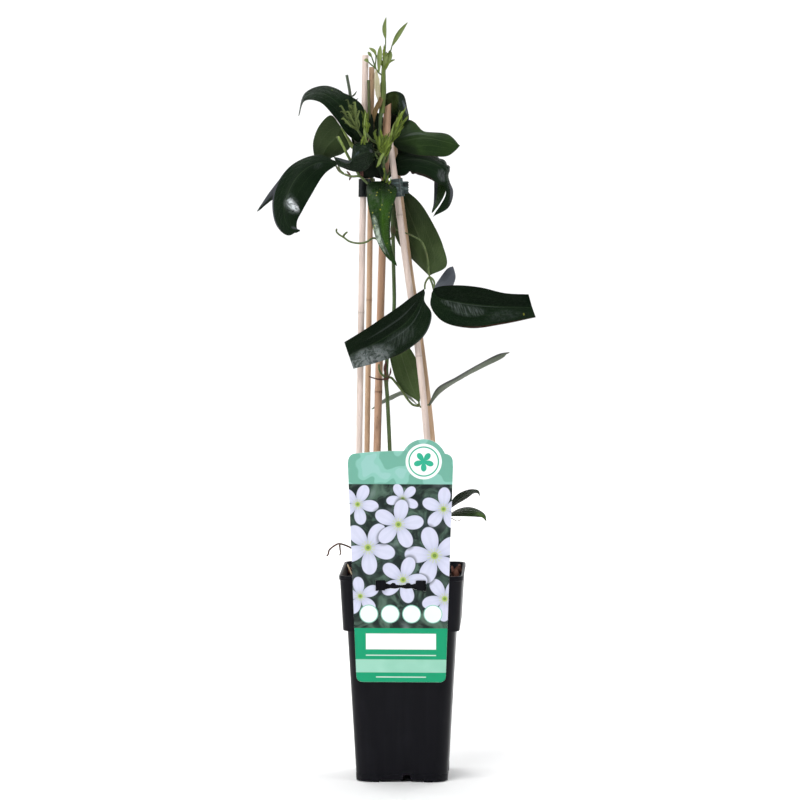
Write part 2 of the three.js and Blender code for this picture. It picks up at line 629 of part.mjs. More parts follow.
const CUT_STEM = [
  [-14.9, -8, 527], [-20.5, -6.5, 528.5], [-27.5, -6.5, 538], [-29, -8, 551], [-29, -8.5, 573.5],
  [-29.8, -9.5, 597], [-30.5, -10, 626.5],
];
const CUT_SHOOT = [
  [-41, -8.4, 566], [-42, -4, 573], [-44.5, 0.5, 584], [-46.5, 2, 598], [-47.5, 2, 614],
  [-50.5, 2, 631],
];
const CUT_SHOOT_SPINES = [
  [[-47.5, 2, 611], [-44, 1, 613], [-41.5, 0, 616.5]],
  [[-47.3, 2, 607], [-43.5, 1, 608], [-40, 0, 610]],
];
const DRY_TENDRIL = [
  [-12, -9.3, 360.5], [-14.5, -9.5, 359.8], [-18, -9.2, 359.3], [-22, -8.5, 359.3], [-26, -5, 360],
  [-30.5, -3.5, 361.4],
];

// ---------- leaves ----------

// Each blade is a loft through three lines from its base to its tip: left margin, rib and right margin.
const LEAVES = {
  crown_leaf_left_top: {
    left: [
      [-40.5, -14, 571.5], [-49, -20, 578.5], [-59.5, -24, 593], [-73, -26, 607],
      [-86.5, -23, 608], [-92, -19, 594.5],
    ],
    rib: [
      [-39.5, -14, 571.5], [-45, -17, 589.5], [-56.5, -19, 605.5], [-72.5, -18, 615],
      [-87, -17, 611.5], [-92.3, -18, 594.5],
    ],
    right: [
      [-39, -14, 571.5], [-34.5, -14, 601.5], [-50.5, -10, 614.5], [-69.5, -8, 621.5],
      [-87, -10, 615], [-92.8, -17, 595],
    ],
  },
  crown_leaf_left_mid: {
    left: [
      [-55.5, 0, 585], [-65, 6, 595], [-75.5, 9, 585.5], [-81, 9, 571], [-80, 8, 558.5],
      [-76.5, 6, 548],
    ],
    rib: [
      [-55, -1, 584], [-61, 2, 574.5], [-68.5, 4, 566.5], [-73, 5, 557.5], [-75.5, 5, 551.5],
      [-76.5, 5, 547],
    ],
    right: [
      [-54.5, 0, 583.5], [-47.3, 6, 567.5], [-55, 9, 560.5], [-65, 10, 556.5], [-72, 8, 549.5],
      [-76, 6, 546.5],
    ],
  },
  crown_leaf_left_low: {
    left: [
      [-59.5, -14, 554.5], [-75.5, -8, 560], [-99.5, -10, 550.5], [-114.5, -20, 527],
      [-112, -34, 499.5], [-101, -42, 489.5], [-90, -45, 493],
    ],
    rib: [
      [-58.5, -14, 553], [-75.5, -14, 553], [-92, -20, 542.5], [-102, -30, 524],
      [-104, -40, 507.5], [-98.5, -45, 496], [-89.5, -46, 493.5],
    ],
    right: [
      [-58.5, -14, 551], [-69, -16, 543.5], [-81, -22, 524.5], [-88.5, -32, 510.5],
      [-92.5, -41, 501.5], [-92, -45, 495.5], [-89, -46, 494.5],
    ],
  },
  crown_leaf_left_far: {
    left: [
      [-60.5, -6, 552.5], [-85.5, 4, 556.5], [-103.5, 8, 545.5], [-117.5, 4, 529.5],
      [-131, -2, 509.5],
    ],
    rib: [[-60.5, -6, 551.5], [-84.5, 2, 549], [-103, 4, 537], [-117.5, 2, 524.5], [-131, -2, 509]],
    right: [[-60.5, -6, 551], [-83.5, 4, 539], [-101, 6, 527.5], [-116.5, 4, 520], [-130.5, -2, 508.5]],
  },
  crown_leaf_centre: {
    left: [
      [-24.5, -20, 561.5], [-27, -20, 571], [-36.5, -24, 572], [-43, -29, 569],
      [-44, -33, 562.5], [-45.5, -34, 556], [-56, -34, 558], [-60.5, -34, 559],
    ],
    rib: [
      [-24.5, -20, 561], [-28.5, -26, 563.5], [-34, -32, 562.5], [-38.5, -36, 560.5],
      [-42, -37.5, 558], [-46, -38, 553], [-55, -36, 555], [-60.5, -35, 559],
    ],
    right: [
      [-24.5, -20, 560], [-26.5, -22, 553], [-33, -28, 546.5], [-39.5, -32, 545.5],
      [-45.5, -34, 546.5], [-52, -35, 549], [-57, -35, 551.5], [-60, -34.5, 558.5],
    ],
  },
  crown_leaf_right_top: {
    left: [
      [-15.5, 8, 589], [-16.5, 5, 601.5], [-15.5, -1, 613.5], [-7.5, -3, 616.5], [0, 1, 613.5],
      [3.5, 4, 601.5], [5.5, 2, 591.5],
    ],
    rib: [
      [-15, 7, 589], [-13.5, 8, 598], [-10.5, 6, 606.5], [-6.5, 2, 610.5], [-3, -2, 605.5],
      [0.5, -3, 597.5], [5, 1, 590.5],
    ],
    right: [
      [-14, 6, 589], [-11, 9, 591.5], [-9.5, 9, 595], [-7, 5, 595.5], [-4.5, -1, 591.5],
      [-1, -4, 588.5], [4.5, 0, 589.5],
    ],
  },
  crown_leaf_right_mid: {
    left: [
      [-10, -1.5, 571.5], [-6, 1, 584], [4.5, 4, 591], [10.5, 3, 588.5], [17, 0, 581.5],
      [40.5, -3, 578], [51, -6, 568],
    ],
    rib: [
      [-10, -1.5, 571], [-1.5, -3, 572], [7.5, -5, 573.5], [16, -7, 575], [25, -8, 574.5],
      [40.5, -8, 571], [51, -7, 568],
    ],
    right: [
      [-10, -1.5, 570.5], [-4.5, -3, 565], [5.5, -6, 561.5], [15, -8, 559.5], [24, -9, 559],
      [40, -9, 559], [51, -7, 567.5],
    ],
  },
  crown_leaf_right_low: {
    left: [
      [-8.5, -1.5, 551], [-3.5, 4, 562], [11.5, 6, 566.5], [29, 5, 561], [42, 2, 549.5],
      [40.5, -3, 541.5], [42, -7, 535.5], [45, -10, 527], [41, -14, 513.5], [27.5, -17, 505.5],
    ],
    rib: [
      [-8.5, -1.5, 550], [-1.5, -2, 554.5], [12, -5, 556], [26, -8, 553], [36.5, -11, 546.5],
      [37.5, -13, 540], [39.5, -15, 534], [41, -17, 525], [37.5, -18, 514.5],
      [27.5, -17.5, 505.5],
    ],
    right: [
      [-8.5, -1.5, 549.5], [-4, -2, 541.5], [6.5, -4, 542], [16, -7, 541.5], [26, -10, 537.5],
      [32.5, -13, 534], [37.5, -16, 532.5], [38.5, -18, 525], [34, -19, 516], [27, -18, 506],
    ],
  },
  crown_leaf_right_inner: {
    left: [
      [22, 8, 549.5], [27.5, 10, 544], [27.5, 8, 534.5], [27.5, 4, 524], [27, 0, 515],
      [25.5, -4, 509],
    ],
    rib: [
      [22.5, 8, 549.5], [32.5, 12, 543.5], [33, 10, 533.5], [32, 5, 524], [29.7, 0, 515.5],
      [25.8, -4, 508],
    ],
    right: [
      [23, 8, 549.5], [37, 8, 542.5], [38.5, 6, 532], [37, 3, 524.5], [32.2, 0, 515.5],
      [26, -4, 507.5],
    ],
  },
  crown_leaf_front: {
    left: [
      [-17.5, -16, 537], [-30.5, -22, 534.5], [-31, -28, 522], [-28, -31, 506.5],
      [-22.5, -30, 485], [-14, -28, 470], [-4.5, -26, 461.5],
    ],
    rib: [
      [-16.5, -16, 538], [-18, -24, 530], [-18, -32, 518], [-17, -36, 504], [-15, -34, 485],
      [-10.5, -30, 472.5], [-4.5, -26, 461.5],
    ],
    right: [
      [-15.5, -16, 537], [-5.5, -20, 531.5], [-5, -26, 525], [-9, -31, 510], [-10.5, -31, 492],
      [-8.5, -29, 475], [-4, -26, 461.5],
    ],
  },
  crown_leaf_back_upper: {
    left: [
      [-23, 3, 552], [-26.5, 10.5, 555.5], [-32, 13.5, 560], [-38, 14.5, 570], [-39, 15, 582],
      [-36, 14, 594], [-32, 12, 603],
    ],
    rib: [
      [-22, 3, 552], [-22, 8.5, 555.5], [-22.5, 11.5, 560], [-23, 13, 570], [-25, 13.5, 582],
      [-28, 13, 593], [-31, 12, 603],
    ],
    right: [
      [-21, 3, 552], [-17.5, 8, 555.5], [-13, 11, 560], [-8, 13, 569], [-9, 14, 580],
      [-17, 13, 592], [-30, 12, 602],
    ],
  },
  crown_leaf_back_lower: {
    left: [
      [-19.5, 6.5, 550], [-24, 7.5, 547.5], [-25, 8, 544], [-22.5, 8, 540.5], [-18, 7.5, 537.5],
    ],
    rib: [
      [-18.5, 6.5, 550], [-18.5, 8, 547], [-18.5, 9, 544], [-18, 9, 541], [-17, 7.5, 537.5],
    ],
    right: [
      [-17.5, 6.5, 550], [-12.5, 7, 547.5], [-10.5, 7.5, 544], [-12, 8, 540.5], [-16, 7.5, 537.5],
    ],
  },
  upper_leaf_back: {
    left: [
      [23.5, -14, 452.5], [8.5, 14, 465], [-3.5, 18, 477.5], [-11.5, 22, 499], [-11.5, 22, 516],
      [-3.5, 18, 528.5],
    ],
    rib: [
      [24, -15, 452.5], [21, -1, 469.5], [15, 9, 484], [8.5, 14, 499.5], [2.5, 16, 514.5],
      [-2, 17, 529.5],
    ],
    right: [
      [24.5, -16, 453], [39, -14, 461], [36, -6, 478.5], [26, 3, 499.5], [14, 9, 517.5],
      [-0.5, 15, 529.5],
    ],
  },
  upper_leaf_front: {
    left: [
      [19.5, -26, 441.5], [15.5, -28, 439], [8.5, -30.5, 434.5], [-3.5, -33, 425.5],
      [-17.5, -34.5, 416], [-33, -35.5, 405.5], [-51, -36, 394.5],
    ],
    rib: [
      [20, -26, 439.5], [17.5, -28, 433], [13.5, -29.5, 424.5], [4.5, -31.5, 412.5],
      [-9.5, -33.5, 402], [-27, -35, 392], [-47, -36, 382.5],
    ],
    right: [
      [20.5, -26, 438], [19.8, -26, 431], [26.3, -26, 419.5], [21, -26, 401.5], [2, -27.5, 385.5],
      [-19, -30, 377], [-43, -33, 370.5],
    ],
    squareEnd: true,
  },
  upper_leaf_right: {
    left: [
      [27.5, -26, 441.5], [33.5, -23.5, 443.5], [49, -21.5, 444.5], [70, -20, 442.5],
      [91.5, -20, 437.5], [112.5, -21, 436.5],
    ],
    rib: [
      [27.5, -26, 439.5], [32, -26, 434], [48, -26, 430], [70, -26, 427], [92.5, -25, 425.5],
      [115.5, -24, 425],
    ],
    right: [
      [26.3, -26, 438], [25.5, -28, 426.5], [36, -31, 413], [61, -33, 407], [90, -31, 410.5],
      [119, -28, 416.5],
    ],
    squareEnd: true,
  },
  upper_leaf_small: {
    left: [[27, -14, 440.5], [32.5, -6, 449], [40, 0, 458.5], [44, 3, 460]],
    rib: [[28, -14, 440], [37, -8, 445.5], [43, -2, 452.5], [44.5, 3, 460]],
    right: [[29, -14, 440], [41.5, -8, 439.5], [47, -2, 450], [45, 3, 459.5]],
  },
  lower_leaf_back: {
    left: [[14, -12, 339.5], [-2.5, -6, 351.5], [-10, -2, 370], [-12, 0, 385], [-6.5, 0, 396.5]],
    rib: [[14.5, -12, 339], [7.5, -9, 355], [2, -6, 371], [-2.5, -3, 385], [-6, 0, 397]],
    right: [
      [15.5, -12, 340], [16.5, -10, 360.5], [12.5, -8, 376.5], [3.5, -4, 390.5], [-5.5, 0, 397.5],
    ],
  },
  lower_leaf_right: {
    left: [
      [23.5, -9, 338], [31, 4, 351], [46.5, 10, 359.5], [67, 8, 371.5], [86, 3, 381.5],
      [95, -2, 383.5],
    ],
    rib: [
      [23.5, -10, 337], [33.5, -8, 350], [49.5, -8, 359], [69, -7, 371.5], [87, -5, 380],
      [95.5, -3, 383.5],
    ],
    right: [
      [24, -11, 335.5], [34.5, -22, 348.5], [52.5, -26, 361], [73, -22, 371.5], [88.5, -12, 378.5],
      [95, -4, 383],
    ],
  },
  lower_leaf_left: {
    left: [[12.3, -9, 337.8], [0.5, 5, 347.5], [-10, 10, 344], [-20, 15, 338], [-28.5, 14, 331]],
    rib: [[12.5, -9.6, 337.4], [1.5, -2, 345.5], [-10, 4, 341], [-19.5, 10, 336], [-29, 13, 330.5]],
    right: [[12.5, -10.2, 337], [0, -7.5, 345], [-10, -0.5, 340.5], [-19, 7.5, 336], [-28.8, 12, 330]],
  },
  low_leaf_upper: {
    left: [
      [39.5, -30, 244.5], [48, -26, 256.5], [56.5, -28, 261.5], [63.5, -31, 263], [68.5, -34, 262],
      [70, -35, 257.5],
    ],
    rib: [
      [39.5, -30, 243.5], [49.5, -34, 252.5], [57.5, -36, 259], [63.5, -37, 261.5], [68, -37, 261],
      [70, -36, 257.5],
    ],
    right: [
      [39.5, -30, 243], [50.5, -42, 251.5], [58.5, -45, 256.5], [64, -44, 260.5],
      [67.5, -40, 260.5], [70, -37, 257.5],
    ],
  },
  low_leaf_lower: {
    left: [
      [40.5, -30, 239], [49, -24, 244], [59, -26, 246.5], [69, -32, 244.5], [74.5, -36, 240.5],
      [75.5, -38, 235.5],
    ],
    rib: [
      [40.5, -30, 239], [50, -36, 242], [60, -40, 243.5], [68, -42, 242.5], [73, -41, 239.5],
      [75.5, -39, 235.5],
    ],
    right: [
      [40.5, -30, 238.5], [50.5, -42, 240], [61, -48, 240.5], [68.5, -47, 240], [72, -43, 239],
      [75, -39, 235.5],
    ],
  },
};
const LEAF_STEPS = 10;
const LEAF_HALF_COLUMNS = 2;
const LEAF_SECTION_POWER = 1.6;
const TIP_AT = 0.99;

// Across the blade the section runs through margin, rib and margin, and bends most beside the rib.
function leafGrid({ left, rib, right, squareEnd = false }) {
  const [leftLine, ribLine, rightLine] = [left, rib, right].map(curveThrough);
  const end = squareEnd ? 1 : TIP_AT;
  return Array.from({ length: LEAF_STEPS + 1 }, (_, i) => {
    const u = (end * i) / LEAF_STEPS;
    const [a, m, b] = [leftLine, ribLine, rightLine].map((line) => line.getPoint(u));
    const half = b.clone().sub(a).multiplyScalar(0.5);
    const lift = a.clone().add(b).multiplyScalar(0.5).sub(m);
    return Array.from({ length: 2 * LEAF_HALF_COLUMNS + 1 }, (__, j) => {
      const v = j / LEAF_HALF_COLUMNS - 1;
      const bend = Math.abs(v) ** LEAF_SECTION_POWER;
      return m.clone().addScaledVector(half, v).addScaledVector(lift, bend);
    });
  });
}

// ---------- young growth ----------

const YOUNG_LOOKS_TO = new THREE.Vector3(0.1, -1, 0.2);

// A small narrow blade: its half width rises and falls as a sine along its rib, and it faces forward.
function smallBlade(points, halfWidth, steps = 3) {
  const rib = curveThrough(points);
  const grid = Array.from({ length: steps + 1 }, (_, i) => {
    const u = i / steps;
    const across = rib.getTangent(u).cross(YOUNG_LOOKS_TO).normalize();
    const reach = 0.35 + (halfWidth - 0.35) * Math.sin(Math.PI * Math.min(1, u * 0.9 + 0.08));
    return [-1, 0, 1].map((v) => {
      const p = rib.getPoint(u).addScaledVector(across, v * reach);
      return p.addScaledVector(YOUNG_LOOKS_TO, 0.3 * reach * Math.abs(v));
    });
  });
  return sheet(grid, BRACT_THICKNESS);
}

const TOP_STALKS = [
  [[-16.3, -5, 627], [-16.5, -4.5, 640], [-16, -4, 651.5], [-15.5, -4, 658], [-15.5, -4, 664]],
  [[-16.3, -4.5, 634], [-14.5, -4, 642.5], [-11.5, -4, 650.5], [-9.5, -4, 658]],
  [
    [-16.6, -5, 628], [-19, -6, 631], [-22, -7, 633.5], [-24.5, -7, 638], [-24, -8, 644],
    [-24, -9, 649],
  ],
  [[-24, -7, 636], [-25.3, -8, 640], [-26.5, -9, 643.5], [-28, -10, 648]],
  [[-24, -7, 636], [-26, -8, 638.5], [-28, -9, 640], [-31, -10, 643]],
];
const TOP_BLADES = [
  { rib: [[-15.5, -4, 663], [-16.5, -4, 669], [-16.5, -4, 674.5], [-15, -4, 682]], halfWidth: 1.9 },
  { rib: [[-9.5, -4, 657], [-6, -5, 663.5], [-1.5, -5, 670.5], [4, -4, 677.5]], halfWidth: 2.1 },
  { rib: [[-21.5, -6.8, 633], [-21, -8, 644], [-20.5, -8, 651.5], [-20, -7, 657]], halfWidth: 2.2 },
  { rib: [[-24, -9, 648], [-25, -10, 651.5], [-27.5, -10, 653.5], [-30, -9, 655]], halfWidth: 1.5 },
  { rib: [[-27.8, -10, 647], [-29.5, -10.5, 649.5], [-31, -10, 651.5]], halfWidth: 1.4 },
  { rib: [[-30.5, -10, 642.5], [-32.5, -10.5, 644], [-34.5, -10, 644]], halfWidth: 1.6 },
  { rib: [[-14.5, -4.5, 640], [-10, -5, 643.5], [-7, -5, 644.5]], halfWidth: 0.9 },
  { rib: [[-16, -5, 635.5], [-16, -7, 642.5], [-15, -7, 648], [-14.5, -6, 651.5]], halfWidth: 1.8 },
  { rib: [[-15.5, -5, 635.5], [-13, -7, 642.5], [-11, -6, 648], [-10.3, -5, 651.5]], halfWidth: 1.8 },
];

function makeTopShoot() {
  const axis = [[-17.4, -5.3, 626.1], [-17.3, -5.2, 634], [-17, -5, 641], [-16.3, -4.6, 646]];
  const collar = rod(axis, [[0, STOUT_RADIUS], [0.75, STOUT_RADIUS], [1, 1.4]], 8);
  const stalks = TOP_STALKS.map((path) => stalk(path, { radius: 0.7 }));
  const blades = TOP_BLADES.map(({ rib, halfWidth }) => smallBlade(rib, halfWidth));
  return geometryOf(joined([collar, ...stalks, ...blades]));
}

// Each fan of young bracts spreads from one stubby stalk: a bract to every tip.
const FANS = {
  bract_fan_left: {
    foot: [[-26.5, -14.6, 563.5], [-32, -16.5, 571], [-36, -20, 577], [-39.5, -27, 582.5]],
    tips: [
      [-50, -32, 608.5], [-43.5, -32, 606], [-55.5, -33, 603], [-49.5, -33, 598],
      [-53.5, -34, 592], [-39.5, -31, 598.5],
    ],
    halfWidth: 1.7,
  },
  bract_fan_front: {
    foot: [[-21.1, -9.5, 569.5], [-24, -15, 571.5], [-28, -21.5, 574], [-32, -26.5, 580]],
    tips: [[-36, -28, 599.5], [-33, -29, 601], [-30, -28, 598.5], [-31.5, -30, 593]],
    halfWidth: 2,
  },
  bract_fan_right: {
    foot: [[-16.3, -9.2, 553], [-14, -13.5, 556], [-12, -17, 564], [-9.5, -18.5, 572]],
    tips: [[3.5, -17, 603], [6, -17, 596], [-2.5, -20, 600], [-0.5, -20, 589.5], [-4.5, -20, 594]],
    halfWidth: 2,
  },
  bract_fan_centre: {
    foot: [[-16.8, -10, 545.5], [-17.3, -13, 548.5], [-17, -16, 552], [-16, -19, 560]],
    tips: [
      [-19.5, -22, 583.5], [-14, -22, 579.5], [-10.5, -22.5, 578.5], [-8, -22.5, 572],
      [-21, -22, 571.5],
    ],
    halfWidth: 2.2,
  },
};

function makeFan({ foot, tips, halfWidth }) {
  const start = vec(foot.at(-1));
  const bracts = tips.map((tip, k) => {
    const end = vec(tip);
    const middle = start.clone().lerp(end, 0.5).add(new THREE.Vector3(0, -1 - (k % 2), 1));
    const root = start.clone().lerp(vec(foot.at(-2)), 0.3);
    return smallBlade([root.toArray(), middle.toArray(), tip], halfWidth);
  });
  return geometryOf(joined([stalk(foot, { radius: 1.3 }), ...bracts]));
}

// ---------- compost ----------

const soilHeight = (x, y) =>
  SOIL_LEVEL + 1.5 * Math.sin(0.21 * x + 1) * Math.cos(0.17 * y) + 0.9 * Math.sin(0.47 * y - 0.31 * x);

const plantedRings = () => [
  ...Object.values(CANES).map(caneRings),
  mainStemRings(),
  stalkRings(LOW_SHOOT, LOW_SHOOT_TAPER),
  stalkRings(DEAD_TWIG, { radius: 0.8 }),
];

function makeSoil() {
  const floorTop = FLOOR_LEVEL + FLOOR_THICKNESS + FIT;
  const walls = potInside(FIT, floorTop, SOIL_LEVEL - 1.5);
  const edge = walls.at(-1);
  const mound = [0.86, 0.66, 0.44, 0.2].map((share) =>
    edge.map((p) => new THREE.Vector3(share * p.x, share * p.y, soilHeight(share * p.x, share * p.y))),
  );
  return geometryOf(cutBy(solidOf(skin([...walls, ...mound])), plantedRings().map(holeFor)));
}

// ---------- assembly ----------

const material = (color, roughness, metalness = 0) =>
  new THREE.MeshStandardMaterial({ color, roughness, metalness });

const MATERIALS = {
  pot: material(0x17181b, 0.45),
  soil: material(0x3a2417, 1),
  palePole: material(0xdcc9ba, 0.7),
  tanPole: material(0xc49e78, 0.7),
  brownPole: material(0xa98262, 0.75),
  grip: material(0x2f3a38, 0.5),
  tag: material(0x2fae82, 0.4),
  stem: material(0x5b7a3a, 0.6),
  leaf: material(0x1f3a20, 0.3),
  brightLeaf: material(0x3f7a24, 0.3),
  young: material(0x8fa850, 0.6),
  dry: material(0x7a5638, 0.9),
};

const plant = new THREE.Group();

function add(name, geometry, finish) {
  const mesh = new THREE.Mesh(geometry, MATERIALS[finish]);
  mesh.name = name;
  plant.add(mesh);
}

add("pot", geometryOf(makePot()), "pot");
add("soil", makeSoil(), "soil");
const poleFinish = ["palePole", "tanPole", "brownPole", "palePole", "tanPole"];
Object.entries(CANES).forEach(([name, cane], k) => add(name, skin(caneRings(cane, k)), poleFinish[k]));
add("cane_grip", geometryOf(makeGrip()), "grip");
add("hanging_tag", makeTag(), "tag");
add("main_stem", makeMainStem(), "stem");
add("low_shoot", makeLowShoot(), "stem");
add("top_shoot", makeTopShoot(), "young");
Object.entries(LEAVES).forEach(([name, lines]) => {
  const finish = name === "crown_leaf_front" ? "brightLeaf" : "leaf";
  add(name, sheet(leafGrid(lines), LEAF_THICKNESS), finish);
});
Object.entries(FANS).forEach(([name, fan]) => add(name, makeFan(fan), "young"));
const cutShoot = rod(CUT_SHOOT, [[0, 1.7], [0.35, 1.6], [0.7, 1.3], [1, 0.8]], 6);
const spines = CUT_SHOOT_SPINES.map((path) => smallBlade(path, 0.8, 2));
add("cut_shoot", geometryOf(joined([cutShoot, ...spines])), "stem");
add("cut_stem", stalk(CUT_STEM, { radius: 1.4, sides: 8 }), "stem");
const twigs = [stalk(DEAD_TWIG, { radius: 0.8 }), stalk(DEAD_TWIG_FORK, { radius: 0.6 })];
add("dead_twig", geometryOf(joined(twigs)), "dry");
add("dry_tendril", stalk(DRY_TENDRIL, { radius: 0.7 }), "dry");

export default plant;
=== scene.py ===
# %% [markdown]
# # A young evergreen climber on a wigwam of canes
# This lesson dresses a finished CAD model with fine surfaces and finishes. The model is a climbing
# clematis in a deep square nursery pot, led up five canes, with a tag that hangs in front of the pot.
# The CAD solids are right in place and size but plain, so each of them gets a finer piece here that
# keeps its form: a leaf gets its rib, nerves and thin edge, a cane its joints, and the compost its bark.
# The first step loads the solids. Everything that follows has to stay inside that box.

import math

import bmesh
import bpy
import numpy as np
from mathutils import Matrix, Vector


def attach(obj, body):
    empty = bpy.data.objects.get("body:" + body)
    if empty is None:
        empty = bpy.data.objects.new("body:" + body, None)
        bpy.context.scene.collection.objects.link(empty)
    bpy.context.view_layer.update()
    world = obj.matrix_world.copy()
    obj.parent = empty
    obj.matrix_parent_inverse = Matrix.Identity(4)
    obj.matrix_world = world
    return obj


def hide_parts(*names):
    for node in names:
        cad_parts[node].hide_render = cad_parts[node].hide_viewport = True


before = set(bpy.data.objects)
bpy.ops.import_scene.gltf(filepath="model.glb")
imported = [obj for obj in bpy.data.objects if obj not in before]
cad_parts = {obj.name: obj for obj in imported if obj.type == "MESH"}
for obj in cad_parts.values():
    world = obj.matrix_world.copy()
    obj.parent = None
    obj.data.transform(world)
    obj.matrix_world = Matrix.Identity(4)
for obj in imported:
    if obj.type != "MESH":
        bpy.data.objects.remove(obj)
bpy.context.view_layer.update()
MM = 0.001  # every list below is in millimetres, and Blender works in metres

# %% [markdown]
# ## Smooth lines through a few points
# A stem, a cane and the margin of a leaf are all smooth lines that pass through a few known points.
# Blender's own curves could hold them, but plain arrays are easier to measure and to carry a section
# along. A Catmull-Rom line is the usual choice: it runs exactly through its points, and each slope
# comes from the neighbours, so it never swings far out between them. Dozens of such lines follow, so
# each is written as a text, in which every point is its x, y and z.

# %% Lines
HASH_FACTORS = (73856093, 19349663, 83492791, 2654435761)  # large odd numbers, which mix a corner's bits


def through(text):
    """The points that a text gives: three numbers a point, and a comma between two points."""
    return [[float(number) for number in point.split()] for point in text.split(",")]


def several(text):
    """The lines that a text gives, with a slash between two of them."""
    return [through(line) for line in text.split("/")]


def blade(text, **more):
    """The three lines that carry a leaf's blade: its left margin, its rib and its right margin."""
    return {**dict(zip(("left", "rib", "right"), several(text))), **more}


def line_at(points, places):
    """Points on a smooth line. Between two control points the line is a cubic, and its slope at each
    of them is the weighed mean of the slopes on both sides, with the square roots of the distances as
    weights. places runs from 0 at the first control point to 1 at the last."""
    p = np.asarray(points, float)
    p = np.vstack([2 * p[0] - p[1], p, 2 * p[-1] - p[-2]])
    spans = len(p) - 3
    t = np.clip(np.asarray(places, float), 0, 1) * spans
    i = np.minimum(t.astype(int), spans - 1)
    w = (t - i)[:, None]
    a, b, c, d = (p[i + k] for k in range(4))
    gaps = [np.linalg.norm(q - s, axis=1) for q, s in ((a, b), (b, c), (c, d))]
    r0, r1, r2 = (np.maximum(gap, 1e-9)[:, None] ** 0.5 for gap in gaps)
    slope_b = ((b - a) / r0 - (c - a) / (r0 + r1) + (c - b) / r1) * r1
    slope_c = ((c - b) / r1 - (d - b) / (r1 + r2) + (d - c) / r2) * r1
    square = w**2 * (3 * (c - b) - 2 * slope_b - slope_c)
    cube = w**3 * (2 * (b - c) + slope_b + slope_c)
    return b + w * slope_b + square + cube


def length_along(points, count=600):
    """The distance run at evenly spaced places of a line, and those places."""
    places = np.linspace(0, 1, count)
    steps = np.linalg.norm(np.diff(line_at(points, places), axis=0), axis=1)
    return np.concatenate([[0], np.cumsum(steps)]), places


def unit(v):
    """Vectors brought to length one."""
    return v / np.maximum(np.linalg.norm(v, axis=-1, keepdims=True), 1e-12)


def value_noise(points, cell, seed):
    """Soft random heights from -1 to 1. Space is cut into cubes of one cell, each cube's corner gets a
    random number by hashing its whole coordinates, and the numbers are blended inside the cube."""
    q = np.asarray(points, float) / cell
    base = np.floor(q).astype(np.int64)
    w = q - base
    w = w * w * (3 - 2 * w)
    total = 0
    for corner in np.ndindex(2, 2, 2):
        cube = base + np.array(corner)
        mixed = seed * HASH_FACTORS[3]
        for axis in range(3):
            mixed = mixed ^ (cube[..., axis] * HASH_FACTORS[axis])
        number = ((mixed * 1103515245 + 12345) & 0x7FFFFFFF) / 0x3FFFFFFF - 1
        share = np.prod(np.where(np.array(corner) == 1, w, 1 - w), axis=-1)
        total = total + number * share
    return total


straight, _ = length_along(through("0 0 0, 5 0 0, 10 0 0"))
print("a straight line of 3 points is", round(straight[-1], 2), "mm long")

# %% [markdown]
# ## From grids of points to one mesh
# Each part of a piece is a grid: rows of points, where each row is a closed ring round the part. A row
# of rings is a tube, and a flat ring whose two sides lie close together is a leaf blade. The class
# below joins rings with quads, closes both ends, turns the faces outwards by the sign of the volume,
# and keeps two coordinates for the finish: across (round the ring) and along (from end to end).
# It could be done with bmesh, but whole arrays are faster and the formulas stay in sight.

